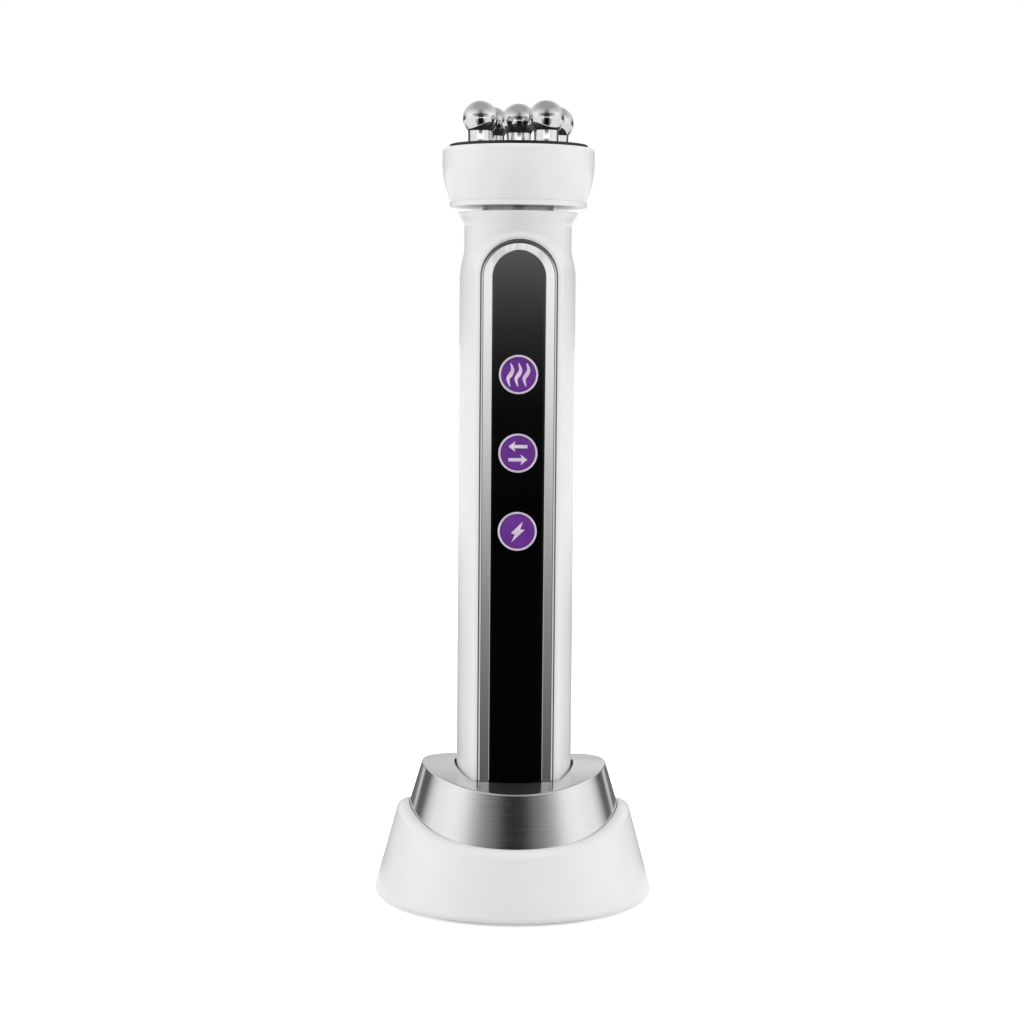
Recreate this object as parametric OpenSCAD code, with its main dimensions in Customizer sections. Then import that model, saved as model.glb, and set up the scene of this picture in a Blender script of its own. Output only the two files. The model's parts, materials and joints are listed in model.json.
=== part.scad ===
// Facial toning wand with a motor-turned five-ball head, standing in its charging stand.
// Millimetres. Origin under the middle of the stand, +Z up, the control panel faces -Y.

/* [Stand] */
// Radius of the stand's outer wall at its foot
stand_foot_r = 35; // [34.4:0.1:35.4]
// How far the stand's wall leans in for each millimetre of height
stand_lean = 0.272; // [0.262:0.002:0.276]
// Height of the stand's rim at its left and right
stand_rim_z = 23.6; // [23.2:0.1:24.4]
// Radius of the arch that the rim follows from front to back
stand_arch_r = 70; // [68:1:80]
// Thickness of the stand's wall
stand_wall = 2.5; // [2:0.1:2.6]

/* [Collar] */
// Radius of the metal collar at the height of its top edge
collar_top_r = 23.1; // [22.6:0.1:23.3]
// Height of the collar's top edge at its left and right
collar_top_z = 34; // [33:0.1:34.4]
// Radius of the arch that the collar's top follows from front to back
collar_arch_r = 87; // [84:1:95]
// Thickness of the collar's metal
collar_wall = 1.2; // [1:0.1:1.4]
// Gap round the wand where it passes the collar
collar_gap = 0.55; // [0.45:0.05:0.7]

/* [Wand] */
// Half of the wand's width
wand_half_w = 14.4; // [14.3:0.05:14.6]
// Depth of the wand's front face from the axis
wand_front_d = 17.2; // [17.1:0.05:17.4]
// Radius of the front face's crown
crown_r = 45; // [42:1:50]
// Rounding of the wand's two front edges
front_edge_r = 1.5; // [1.2:0.1:1.6]
// Thickness of the wand's shell
shell_wall = 1.75; // [1.65:0.05:1.8]
// Height of the middle of the shoulder's arch
shoulder_z = 155.3; // [154.8:0.1:156]
// Radius of the neck under the head
neck_r = 13.3; // [13.1:0.05:13.5]
// Radius of the neck ring's flared lip
neck_lip_r = 14.9; // [14.5:0.1:15.2]

/* [Control strip] */
// Width of the chrome trim over the strip
trim_w = 18.8; // [18.4:0.1:19]
// Width of the black panel inside the trim
panel_w = 13; // [12.8:0.1:13.3]
// How far the trim stands proud of the shell
trim_proud = 0.12; // [0.05:0.01:0.2]
// Height of the lowest button's centre
button_low_z = 93.8; // [92.5:0.1:95]
// Distance from one button to the next
button_pitch = 19.05; // [18.5:0.05:19.2]
// Outer radius of the ring round a button
ring_r = 4.75; // [4.65:0.05:4.85]
// Radius of a button's cap
cap_r = 4.15; // [4.05:0.01:4.18]
// How far a button is pressed before it clicks
button_travel = 0.5; // [0.4:0.05:0.55]

/* [Head] */
// Greatest radius of the head's white shell
head_r = 18.85; // [18.6:0.05:19.2]
// Radius of the lip at the head's lower edge
head_lip_r = 17; // [16.7:0.05:17.2]
// Radius of the plate on top of the head, with its gasket
plate_r = 17.1; // [17:0.02:17.14]
// Radius of each polished ball
ball_r = 4.3; // [4:0.05:4.6]
// Radius of the stem under each ball
stem_r = 3; // [2.6:0.1:3.2]
// Distance of the four outer balls from the axis
ball_circle_r = 11.5; // [11:0.1:11.9]
// Angle of the first outer ball from the right-hand side
ball_turn = 34; // [0:1:89]
// Radius of the dark metal hub under the head
hub_r = 8.8; // [8.6:0.05:9]

/* [Gears] */
// Teeth on the sun gear
sun_teeth = 12; // [12]
// Teeth on each planet gear
planet_teeth = 15; // [15]
// Module of the gear teeth
gear_module = 0.4; // [0.38:0.01:0.4]
// Play between meshing teeth, measured along the pitch circle
gear_play = 0.06; // [0.05:0.01:0.09]

/* [Fits] */
// Radial clearance of a shaft or pin that turns in its hole
turn_fit = 0.05; // [0.03:0.01:0.08]
// Radial clearance of a piece that is set in a hole and stays there
set_fit = 0.02; // [0.01:0.01:0.04]
// Clearance round the wand in the cradle
cradle_fit = 0.35; // [0.3:0.05:0.4]

/* [Hidden] */
$fn = 96;
eps = 0.01;
big = 60;

// Stand heights and radii
foot_h = 1.6;
foot_r = 4;
foot_circle_r = stand_foot_r - 9;
shell_low_z = 0.5;
plate_low_z = 1;
plate_top_z = 3.2;
plate_r_low = stand_foot_r - 3.4;
shell_skirt_r = plate_r_low + 0.1;
bottom_edge_r = 1.5;
bottom_edge_z = shell_low_z + bottom_edge_r;
lean_angle = atan(stand_lean);
ledge_low_z = 14.5;
ledge_top_z = 16;
ledge_r = 25.2;
post_r = 2.5;
post_circle_r = stand_foot_r - 7.2;
leg_r = 2;
leg_x = 11.5;
leg_y = 8;
screw_r = 1;
screw_head_r = 2;
screw_head_h = 1.4;
board_low_z = 4.9;
board_t = 1.2;
board_half_w = 7;
board_front_y = -9;
socket_w = 8.94;
socket_h = 3.16;
socket_l = 7.4;
socket_back_y = stand_foot_r - 2.7;
socket_front_y = socket_back_y - socket_l;
board_back_y = socket_back_y - 2.2;
socket_z = board_low_z + board_t + socket_h / 2;
socket_gap = 0.12;
ballast_out_r = post_circle_r - post_r - 0.3;
ballast_in_r = ballast_out_r - 7;
ballast_h = 7.2;
ballast_gap = 17;
wand_z = 12;
cup_floor = 1.2;
cup_wall = 1.2;
cup_low_z = wand_z - cup_floor;
land_t = 1.5;
collar_lean = 0.3;
collar_apex_y = 1.3;
pin_x = 4;
pin_r = 0.75;
pin_base_r = 1;
pin_base_z = 8;
pin_base_h = 1.5;
pin_travel = 0.8;
pin_top_z = wand_z - 0.05;

// Wand heights and radii
side_r = 34;
side_c = [wand_half_w - side_r, 0];
crown_c = [0, crown_r - wand_front_d];
cap_h = 1.6;
cap_top_z = wand_z + cap_h;
spigot_top_z = cap_top_z + 3.4;
neck_top_z = shoulder_z + 12.7;
neck_bore_r = 11.6;
lip_top_z = neck_top_z + 3.55;
strip_low_z = 26;
trim_depth = 1;
pad_r = 2.2;
plank_front_d = 10.4;
plank_back_d = 8.6;
plank_half_w = 9.6;
plank_low_z = 18;
pcb_t = 1.6;
pcb_face_d = plank_front_d + pcb_t;
pcb_half_w = 9;
pcb_low_z = 84;
rib_t = 1.8;
battery_r = 7.1;
battery_low_z = 24;
battery_h = 50;
chassis_screw_z = [battery_low_z + 14, button_low_z - 14.8];
chassis_screw_x = 6.6;
board_screw_x = 7;
wire_r = 0.45;
wire_slot_w = 10.4;
gearbox_z = shoulder_z - 9.3;
can_r = 8;
can_h = 26;
can_low_z = gearbox_z - can_h;
can_wall = 0.8;
end_bell_h = 2.5;
shaft_r = 1;
seat_d = 15.3;
flange_r = 4.9;
flange_t = 0.9;
flange_gap = 0.05;
switch_h = 1;
stem_gap = 0.1;

// Gear train
ring_teeth = sun_teeth + 2 * planet_teeth;
pressure_angle = 25;
tooth_top = 0.8;
tooth_foot = 1.05;
orbit_r = gear_module * (sun_teeth + planet_teeth) / 2;
housing_r = 11.3;
gear_low_z = gearbox_z + 3;
gear_h = 5;
carrier_low_z = gear_low_z + gear_h + 0.6;
carrier_t = 2.4;
carrier_r = gear_module * (ring_teeth / 2 + tooth_foot) - 0.12;
carrier_bore_r = gear_module * (ring_teeth / 2 + tooth_foot) + 0.18;
housing_top_z = carrier_low_z + carrier_t + 0.4;
cover_t = 3.4;
cover_top_z = housing_top_z + cover_t;
pin_hole_r = 0.8;
output_r = 2;
bushing_r = 4;
bushing_t = 2.9;
gearbox_screw_r = 0.6;
gearbox_screw_circle = 10.1;

// Hub, slip rings and head
slip_r = 6.4;
slip_core_r = 5.6;
slip_t = 1;
slip_low_z = cover_top_z + 0.7;
slip_step = 1.4;
hub_low_z = cover_top_z + 4.4;
brush_top_z = cover_top_z + 3.4;
brush_back_y = 10.2;
head_low_z = lip_top_z + 1.25;
head_seam_z = head_low_z + 1.25;
base_floor_z = head_low_z + 4;
hub_flange_r = 12;
hub_screw_circle_r = hub_flange_r - 1.6;
hub_flange_t = 2;
hub_top_z = base_floor_z + hub_flange_t;
head_wall = 1.7;
head_arc_r = 26;
head_arc_z = head_low_z + 11.5;
head_edge_r = 1;
head_top_z = head_low_z + 14.5;
plate_t = 1.5;
plate_top = head_top_z + 0.8;
plate_edge = 0.15;
plate_low = plate_top - plate_t;
plate_face = plate_top - 0.2;
gasket_w = 0.9;
insulator_r = stem_r + 1.4;
heater_t = 1.6;
heater_top = plate_low - 0.6;
ball_z = plate_top + 5.9;
stud_r = 1.25;
nut_t = 1.8;
nut_r = 2.4;

white = [0.93, 0.93, 0.94];
steel = [0.72, 0.73, 0.75];
dark = [0.12, 0.12, 0.13];
brassy = [0.8, 0.66, 0.35];
green = [0.1, 0.35, 0.2];
purple = [0.42, 0.17, 0.57];

// Where two circles meet, on the right-hand side going from a to b
function meet(a, ra, b, rb) = let(
  d = norm(b - a),
  u = (b - a) / d,
  t = (ra * ra - rb * rb + d * d) / (2 * d),
  h = sqrt(ra * ra - t * t)
) a + t * u + h * [u[1], -u[0]];
edge_c = meet(side_c, side_r - front_edge_r, crown_c, crown_r - front_edge_r);
edge_from = atan2(edge_c[1] - side_c[1], edge_c[0] - side_c[0]);
edge_to = atan2(edge_c[1] - crown_c[1], edge_c[0] - crown_c[0]);

// Radius of the stand's wall and of the collar at a height
function wall_r(z) = stand_foot_r - stand_lean * (z - 1.5);
function collar_r(z) = collar_top_r + collar_lean * (collar_top_z - z);

// Involute teeth
function involute(a) = tan(a) * 180 / PI - a;
function tooth_half(n, r, slack) = let(
  base = gear_module * n / 2 * cos(pressure_angle)
) 90 / n + involute(pressure_angle) - involute(acos(min(1, base / r))) + slack;
function tooth(n, low, high, slack) = let(
  base = gear_module * n / 2 * cos(pressure_angle),
  start = max(base, low),
  radii = [for (i = [0:4]) start + (high - start) * i / 4],
  rise = [for (r = radii) [r, tooth_half(n, r, slack)]],
  root = [low, tooth_half(n, start, slack)]
) concat(
  [[root[0], -root[1]]],
  [for (p = rise) [p[0], -p[1]]],
  [for (i = [4:-1:0]) rise[i]],
  [root]
);
function gear_points(n, low, high, slack) = [
  for (k = [0:n - 1])
  for (p = tooth(n, low, high, slack))
  let(a = p[1] + k * 360 / n)
  [p[0] * cos(a), p[0] * sin(a)]
];
function play_angle(n) = gear_play / (gear_module * n / 2) * 90 / PI;

module gear(n) {
  pitch = gear_module * n / 2;
  low = pitch - tooth_foot * gear_module;
  high = pitch + tooth_top * gear_module;
  polygon(gear_points(n, low, high, -play_angle(n) / 2));
}

module ring_space() {
  pitch = gear_module * ring_teeth / 2;
  low = pitch - tooth_top * gear_module;
  high = pitch + tooth_foot * gear_module;
  polygon(gear_points(ring_teeth, low, high, play_angle(ring_teeth) / 2));
}

// Helpers
module at_z(z) {
  translate([0, 0, z]) children();
}

module tube(outer, inner, z0, z1) {
  at_z(z0) difference() {
    cylinder(r = outer, h = z1 - z0);
    translate([0, 0, -1]) cylinder(r = inner, h = z1 - z0 + 2);
  }
}

module rod(r, z0, z1) {
  at_z(z0) cylinder(r = r, h = z1 - z0);
}

// A cylinder lying front to back: from depth d0 to depth d1 in front of the axis
module front_rod(r, z, d0, d1, x = 0) {
  translate([x, -d0, z]) rotate([90, 0, 0]) cylinder(r = r, h = d1 - d0);
}

module sides() {
  children();
  mirror([1, 0, 0]) children();
}

module box(x0, x1, y0, y1, z0, z1) {
  translate([x0, y0, z0]) cube([x1 - x0, y1 - y0, z1 - z0]);
}

// Places that hold more than one of the same thing
module post_places() {
  for (a = [45:90:315]) rotate(a) translate([post_circle_r, 0, 0]) children();
}

module leg_places() {
  for (x = [-leg_x, leg_x]) for (y = [-leg_y, leg_y]) translate([x, y, 0]) children();
}

module screw_places() {
  post_places() children();
  leg_places() children();
}

module foot_places() {
  for (a = [0:90:270]) rotate(a) translate([foot_circle_r, 0, 0]) children();
}

module pin_places() {
  for (x = [-pin_x, pin_x]) translate([x, 0, 0]) children();
}

module arch_block(r, apex_y, apex_z) {
  translate([-big, apex_y, apex_z - r]) rotate([0, 90, 0]) cylinder(r = r, h = 2 * big, $fn = 360);
}

module plug_shape(w, h, y0, y1, z) {
  box(-(w - h) / 2, (w - h) / 2, y0, y1, z - h / 2, z + h / 2);
  sides() translate([(w - h) / 2, y0, z]) rotate([-90, 0, 0]) cylinder(r = h / 2, h = y1 - y0);
}

// The wand's outline seen from above, o millimetres inside the outer face
module section_sharp(o) {
  intersection() {
    circle(r = wand_half_w - o, $fn = 180);
    translate([-20, 0]) square([40, 20]);
  }
  intersection() {
    translate(side_c) circle(r = side_r - o, $fn = 360);
    translate(-side_c) circle(r = side_r - o, $fn = 360);
    translate(crown_c) circle(r = crown_r - o, $fn = 360);
    translate([-20, -20]) square([40, 20]);
  }
}

// The two front edges are rounded in three flats
module section_round(o) {
  difference() {
    section_sharp(o);
    sides() for (t = [1:2:5]) translate(edge_c) rotate(edge_from + (edge_to - edge_from) * t / 6)
      translate([front_edge_r - o, -5]) square([6, 10]);
  }
}

module wand_section(o) {
  if (o < front_edge_r - 0.2) section_round(o);
  else section_sharp(o);
}

module wand_prism(o, z0, z1) {
  at_z(z0) linear_extrude(z1 - z0) wand_section(o);
}

module wand_solid(o, z0) {
  wand_prism(o, z0, shoulder_z);
  at_z(shoulder_z) rotate([-90, 0, 0]) rotate([0, 0, 180]) rotate_extrude(angle = 180)
    intersection() {
      wand_section(o);
      translate([0, -20]) square([20, 40]);
    }
}

// The curved face of the control strip, o millimetres inside the outer face
module crown_block(o) {
  translate([0, crown_c[1], 10]) cylinder(r = crown_r - o, h = neck_top_z, $fn = 360);
}

module strip_prism(w) {
  box(-w / 2, w / 2, -30, -10, strip_low_z, shoulder_z);
  front_rod(w / 2, strip_low_z, 10, 30);
  front_rod(w / 2, shoulder_z, 10, 30);
}

function button_z(k) = button_low_z + k * button_pitch;

// Stand
module stand_shell() {
  edge_r0 = wall_r(bottom_edge_z + bottom_edge_r * sin(lean_angle)) - bottom_edge_r * cos(lean_angle);
  cone_z = bottom_edge_z + bottom_edge_r * sin(lean_angle);
  top = stand_rim_z + 1;
  color(white) difference() {
    intersection() {
      union() {
        difference() {
          rotate_extrude($fn = 180) union() {
            polygon([
              [0, shell_low_z], [edge_r0, shell_low_z], [edge_r0, bottom_edge_z],
              [wall_r(cone_z), cone_z], [wall_r(top), top], [0, top]
            ]);
            translate([edge_r0, bottom_edge_z]) circle(r = bottom_edge_r, $fn = 48);
          }
          rotate_extrude($fn = 180) polygon([
            [0, -1], [shell_skirt_r, -1], [shell_skirt_r, 5],
            [wall_r(6) - stand_wall, 6], [wall_r(top + 1) - stand_wall, top + 1], [0, top + 1]
          ]);
        }
        at_z(ledge_low_z) difference() {
          cylinder(r = wall_r(ledge_top_z) - 1, h = ledge_top_z - ledge_low_z);
          translate([0, 0, -1]) cylinder(r = ledge_r, h = 4);
        }
        post_places() rod(post_r, plate_top_z, ledge_low_z + 0.5);
      }
      arch_block(stand_arch_r, 0, stand_rim_z);
    }
    post_places() rod(screw_r + set_fit, 2, 10);
    plug_shape(socket_w + 2 * socket_gap, socket_h + 2 * socket_gap, 26, 40, socket_z);
  }
}

module collar_cone(o, z) {
  at_z(z) cylinder(r1 = collar_r(z) - o, r2 = collar_r(36) - o, h = 36 - z, $fn = 180);
}

module stand_collar() {
  color(steel) difference() {
    intersection() {
      collar_cone(0, ledge_top_z);
      arch_block(collar_arch_r, collar_apex_y, collar_top_z);
    }
    intersection() {
      collar_cone(collar_wall, 10);
      arch_block(collar_arch_r - land_t, collar_apex_y, collar_top_z - land_t);
    }
    wand_prism(-collar_gap, 20, 40);
  }
}

module cradle_cup() {
  color(dark) difference() {
    union() {
      intersection() {
        wand_prism(-cradle_fit - cup_wall, cup_low_z, 36);
        arch_block(collar_arch_r - land_t - 0.1, collar_apex_y, collar_top_z - land_t - 0.1);
      }
      leg_places() rod(leg_r, plate_top_z, cup_low_z + 0.5);
    }
    wand_prism(-cradle_fit, wand_z, 40);
    pin_places() rod(pin_r + 0.15, cup_low_z - 1, wand_z + 1);
    leg_places() rod(screw_r + set_fit, 2, 10);
  }
}

module pin_block() {
  color(dark) difference() {
    box(-6.6, 6.6, -3.5, 3.5, board_low_z + board_t, cup_low_z);
    pin_places() {
      rod(pin_base_r + turn_fit, pin_base_z - pin_travel - 0.3, pin_base_z + pin_base_h + 0.05);
      rod(pin_r + turn_fit, pin_base_z, cup_low_z + 1);
    }
  }
}

module charge_pin(x) {
  color(brassy) translate([x, 0, 0]) {
    rod(pin_base_r, pin_base_z, pin_base_z + pin_base_h);
    rod(pin_r, pin_base_z, pin_top_z - 0.4);
    at_z(pin_top_z - 0.4) cylinder(r1 = pin_r, r2 = pin_r - 0.3, h = 0.4);
  }
}

module charge_pin_left() {
  charge_pin(-pin_x);
}

module charge_pin_right() {
  charge_pin(pin_x);
}

module charge_board() {
  top = board_low_z + board_t;
  color(green) {
    box(-board_half_w, board_half_w, board_front_y, board_back_y, board_low_z, top);
    box(-5.5, -1.5, 15.5, 19.5, top - eps, top + 1.1);
    box(1.5, 5, 16, 19.5, top - eps, top + 0.9);
    translate([3.6, 12.4, 0]) rod(2.4, top - eps, top + 3.6);
    for (y = [9.5, 11.5, 13.5]) box(-5, -3.2, y, y + 0.9, top - eps, top + 0.6);
  }
}

module ballast_ring() {
  color(steel) difference() {
    tube(ballast_out_r, ballast_in_r, plate_top_z, plate_top_z + ballast_h);
    box(-ballast_gap / 2, ballast_gap / 2, 0, ballast_out_r + 1, 0, plate_top_z + ballast_h + 1);
  }
}

module base_plate() {
  color(dark) difference() {
    union() {
      rod(plate_r_low, plate_low_z, plate_top_z);
      for (y = [-6, 22]) sides() translate([5, y, 0]) rod(1.5, plate_low_z, board_low_z);
    }
    screw_places() {
      rod(screw_r + turn_fit, 0, 6);
      rod(screw_head_r + turn_fit, 0, plate_low_z + screw_head_h);
    }
    foot_places() rod(foot_r + turn_fit, 0, foot_h);
  }
}

module rubber_feet() {
  color(dark) foot_places() rod(foot_r, 0, foot_h);
}

module base_screw() {
  difference() {
    union() {
      rod(screw_head_r, plate_low_z, plate_low_z + screw_head_h);
      rod(screw_r, plate_low_z, 9.2);
    }
    for (a = [0, 90]) rotate(a) box(-1.2, 1.2, -0.25, 0.25, 0, plate_low_z + 0.7);
  }
}

module base_screws() {
  color(steel) screw_places() base_screw();
}

module power_socket() {
  color(steel) difference() {
    plug_shape(socket_w, socket_h, socket_front_y, socket_back_y, socket_z);
    difference() {
      plug_shape(socket_w - 0.6, socket_h - 0.6, socket_front_y + 0.9, socket_back_y + 1, socket_z);
      box(-3.35, 3.35, socket_front_y, socket_back_y - 0.6, socket_z - 0.35, socket_z + 0.35);
    }
  }
}

// Wand shells
module button_seats() {
  for (k = [0:2]) {
    front_rod(ring_r - 0.5, button_z(k), 10, 30);
    front_rod(ring_r, button_z(k), 15.95, 30);
    front_rod(flange_r + 0.3, button_z(k), 10, seat_d);
  }
}

module wand_body() {
  intersection() {
    wand_solid(0, cap_top_z);
    rod(20, 0, neck_top_z - 1);
  }
  rod(neck_r, shoulder_z - 2, neck_top_z);
}

module wand_cavity() {
  wand_solid(shell_wall, wand_z - 1);
  rod(neck_bore_r, shoulder_z - 2, neck_top_z + 1);
}

module gearbox_rib() {
  difference() {
    wand_prism(shell_wall - 0.3, gearbox_z - 1.6, gearbox_z);
    rod(can_r + 0.4, gearbox_z - 3, gearbox_z + 1);
    wire_groove(gearbox_z - 3, gearbox_z + 1);
  }
}

module shell_posts() {
  for (z = chassis_screw_z) sides() intersection() {
    front_rod(2.1, z, plank_front_d, 17, chassis_screw_x);
    wand_prism(shell_wall - 0.3, z - 4, z + 4);
  }
}

module front_shell() {
  color(white) difference() {
    union() {
      intersection() {
        difference() {
          wand_body();
          wand_cavity();
        }
        box(-20, 20, -20, 0, 0, 200);
      }
      intersection() {
        gearbox_rib();
        box(-20, 20, -20, 0, 0, 200);
      }
      shell_posts();
    }
    difference() {
      strip_prism(trim_w);
      crown_block(trim_depth);
    }
    button_seats();
    for (z = chassis_screw_z) sides() front_rod(0.75 + set_fit, z, 5, plank_front_d + 3.2, chassis_screw_x);
  }
}

module rear_shell() {
  color(white) {
    intersection() {
      difference() {
        wand_body();
        wand_cavity();
      }
      box(-20, 20, 0, 20, 0, 200);
    }
    intersection() {
      gearbox_rib();
      box(-20, 20, 0, 20, 0, 200);
    }
  }
}

module neck_ring() {
  color(white) difference() {
    union() {
      rotate_extrude($fn = 180) polygon([
        [8, neck_top_z], [neck_r, neck_top_z], [neck_r + 0.15, neck_top_z + 0.7],
        [neck_r + 0.38, neck_top_z + 1.2], [neck_r + 0.7, neck_top_z + 1.7],
        [neck_r + 1.05, neck_top_z + 2.2], [neck_r + 1.3, neck_top_z + 2.7],
        [neck_lip_r - 0.15, neck_top_z + 3.05], [neck_lip_r, lip_top_z - 0.2],
        [neck_lip_r - 0.2, lip_top_z], [8, lip_top_z]
      ]);
      rod(neck_bore_r - 0.05, neck_top_z - 3.4, neck_top_z + 1);
    }
    rod(hub_r + 0.4, neck_top_z - 10, lip_top_z + 1);
    rod(neck_bore_r - 1, neck_top_z - 10, neck_top_z);
  }
}

module shaft_seal() {
  color(dark) tube(neck_bore_r - 1.05, hub_r + turn_fit, neck_top_z - 1.8, neck_top_z);
}

module bottom_cap() {
  color(white) difference() {
    union() {
      wand_prism(0, wand_z, cap_top_z);
      wand_prism(shell_wall + 0.05, cap_top_z - eps, spigot_top_z);
    }
    wand_prism(shell_wall + 1.2, cap_top_z, spigot_top_z + 1);
    pin_places() {
      rod(pad_r + turn_fit, wand_z - 1, wand_z + 0.8);
      rod(0.7 + turn_fit, wand_z - 1, wand_z + 5);
    }
  }
}

module contact_pads() {
  color(brassy) pin_places() {
    rod(pad_r, wand_z, wand_z + 0.8);
    rod(0.7, wand_z, wand_z + 3.4);
  }
}

module trim_frame() {
  color(steel) intersection() {
    difference() {
      strip_prism(trim_w - 2 * set_fit);
      strip_prism(panel_w);
    }
    difference() {
      crown_block(-trim_proud);
      crown_block(trim_depth - set_fit);
    }
  }
}

module control_panel() {
  color(dark) difference() {
    intersection() {
      strip_prism(panel_w - 2 * set_fit);
      difference() {
        crown_block(0);
        crown_block(trim_depth - set_fit);
      }
    }
    for (k = [0:2]) front_rod(ring_r + set_fit, button_z(k), 10, 30);
  }
}

module button_rings() {
  color([0.85, 0.78, 0.88]) for (k = [0:2]) difference() {
    front_rod(ring_r, button_z(k), 15.95, wand_front_d + 0.1);
    front_rod(ring_r - 0.5, button_z(k), 10, 30);
  }
}

module push_button(k) {
  back_d = pcb_face_d + switch_h + 0.5 + button_travel + stem_gap;
  color(purple) {
    front_rod(cap_r, button_z(k), seat_d - 1, wand_front_d + 0.05);
    front_rod(flange_r, button_z(k), seat_d - flange_gap - flange_t, seat_d - flange_gap);
    front_rod(1.2, button_z(k), back_d, seat_d - 0.5);
  }
}

module heat_button() {
  push_button(2);
}

module direction_button() {
  push_button(1);
}

module power_button() {
  push_button(0);
}

module tact_switches() {
  for (k = [0:2]) {
    color(dark) box(-2.6, 2.6, -pcb_face_d - switch_h, -pcb_face_d, button_z(k) - 2.6, button_z(k) + 2.6);
    color(steel) front_rod(1, button_z(k), pcb_face_d + 0.5, pcb_face_d + switch_h + 0.5);
  }
}

module control_board() {
  color(green) {
    difference() {
      box(-pcb_half_w, pcb_half_w, -pcb_face_d, -plank_front_d, pcb_low_z, gearbox_z - 2.8);
      for (z = [pcb_low_z + 3, gearbox_z - 6]) sides() front_rod(0.8, z, 5, 20, board_screw_x);
    }
    box(-3, 3, -pcb_face_d - 0.9, -pcb_face_d + eps, button_z(0) + 6, button_z(0) + 12);
    box(-6.4, -3.6, -pcb_face_d - 0.8, -pcb_face_d + eps, button_z(1) + 6, button_z(1) + 9);
    box(2.6, 6.2, -pcb_face_d - 1.2, -pcb_face_d + eps, button_z(1) + 6, button_z(1) + 10);
    front_rod(2, button_z(1) + 9.5, pcb_face_d - eps, pcb_face_d + 1.8);
    for (x = [-6, -3.5, 2.5, 5])
      box(x, x + 1, -pcb_face_d - 0.6, -pcb_face_d + eps, button_z(2) + 5, button_z(2) + 7);
  }
}

module chassis() {
  color([0.3, 0.3, 0.32]) difference() {
    union() {
      box(-plank_half_w, plank_half_w, -plank_front_d, -plank_back_d, plank_low_z, gearbox_z - 1.9);
      for (z = [battery_low_z + 4, battery_low_z + battery_h - 8, can_low_z + 2, can_low_z + can_h - 6])
        intersection() {
          wand_prism(shell_wall + 0.1, z, z + rib_t);
          box(-20, 20, -plank_back_d - 0.5, 3, 0, 200);
        }
      intersection() {
        wand_prism(shell_wall + 0.1, battery_low_z - 2, battery_low_z);
        box(-20, 20, -plank_back_d - 0.5, 6, 0, 200);
      }
    }
    rod(battery_r + 0.1, battery_low_z, battery_low_z + battery_h);
    box(-wire_slot_w / 2, wire_slot_w / 2, -plank_front_d - 1, -plank_back_d + 1,
      can_low_z - end_bell_h - 25, can_low_z - end_bell_h - 8);
    rod(can_r + 0.1, can_low_z - 1, can_low_z + can_h);
    for (z = chassis_screw_z) sides() front_rod(0.75 + turn_fit, z, 0, 12, chassis_screw_x);
    for (z = [pcb_low_z + 3, gearbox_z - 6]) sides() front_rod(0.75 + set_fit, z, 5, 20, board_screw_x);
  }
}

module chassis_screws() {
  color(steel) {
    for (z = chassis_screw_z) sides() {
      front_rod(0.75, z, plank_back_d, plank_front_d + 3, chassis_screw_x);
      front_rod(1.4, z, plank_back_d - 1, plank_back_d, chassis_screw_x);
    }
    for (z = [pcb_low_z + 3, gearbox_z - 6]) sides() {
      front_rod(0.75, z, plank_back_d, pcb_face_d, board_screw_x);
      front_rod(1.4, z, pcb_face_d, pcb_face_d + 0.9, board_screw_x);
    }
  }
}

module battery_cell() {
  color(steel) difference() {
    union() {
      rod(battery_r, battery_low_z, battery_low_z + battery_h - 1.2);
      rod(2.6, battery_low_z, battery_low_z + battery_h);
    }
    tube(battery_r + 1, battery_r - 0.35, battery_low_z + battery_h - 3.6, battery_low_z + battery_h - 2.8);
  }
}

// Motor and gearbox
module motor_can() {
  color(steel) difference() {
    union() {
      rod(can_r, can_low_z, gearbox_z);
      rod(3, gearbox_z - 1, gearbox_z + 1.4);
    }
    rod(can_r - can_wall, can_low_z - 1, gearbox_z - can_wall);
    rod(shaft_r + turn_fit, gearbox_z - 3, gearbox_z + 3);
  }
}

module motor_magnets() {
  color(dark) for (a = [0, 180]) rotate(a) intersection() {
    tube(can_r - can_wall - set_fit, 5.9, can_low_z + 3, gearbox_z - 4);
    box(1.2, 10, -10, 10, 0, 200);
  }
}

module motor_end_bell() {
  color(dark) difference() {
    union() {
      rod(can_r, can_low_z - end_bell_h, can_low_z);
      rod(can_r - can_wall - set_fit, can_low_z - eps, can_low_z + 1.2);
    }
    rod(shaft_r + turn_fit, can_low_z - 5, can_low_z + 3);
    sides() box(4, 5, -1, 1, can_low_z - 5, can_low_z + 3);
  }
}

module armature() {
  color([0.6, 0.35, 0.2]) difference() {
    union() {
      for (a = [0:120:240]) rotate(a) {
        box(shaft_r, 4.2, -1, 1, can_low_z + 5, gearbox_z - 6);
        intersection() {
          tube(5.6, 4, can_low_z + 5, gearbox_z - 6);
          translate([0, 0, can_low_z]) linear_extrude(30) polygon([[0, 0], [12, -10], [12, 10]]);
        }
      }
      rod(2.2, can_low_z + 4, gearbox_z - 5);
      rod(2.8, can_low_z + 1.6, can_low_z + 4.2);
    }
    rod(shaft_r + set_fit, can_low_z, gearbox_z);
  }
}

module motor_shaft() {
  color(steel) rod(shaft_r, can_low_z - end_bell_h - 0.8, gear_low_z + gear_h + 0.2);
}

module sun_gear() {
  color(brassy) at_z(gear_low_z - 0.2) difference() {
    linear_extrude(gear_h + 0.4) gear(sun_teeth);
    translate([0, 0, -1]) cylinder(r = shaft_r + set_fit, h = gear_h + 3);
  }
}

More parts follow.
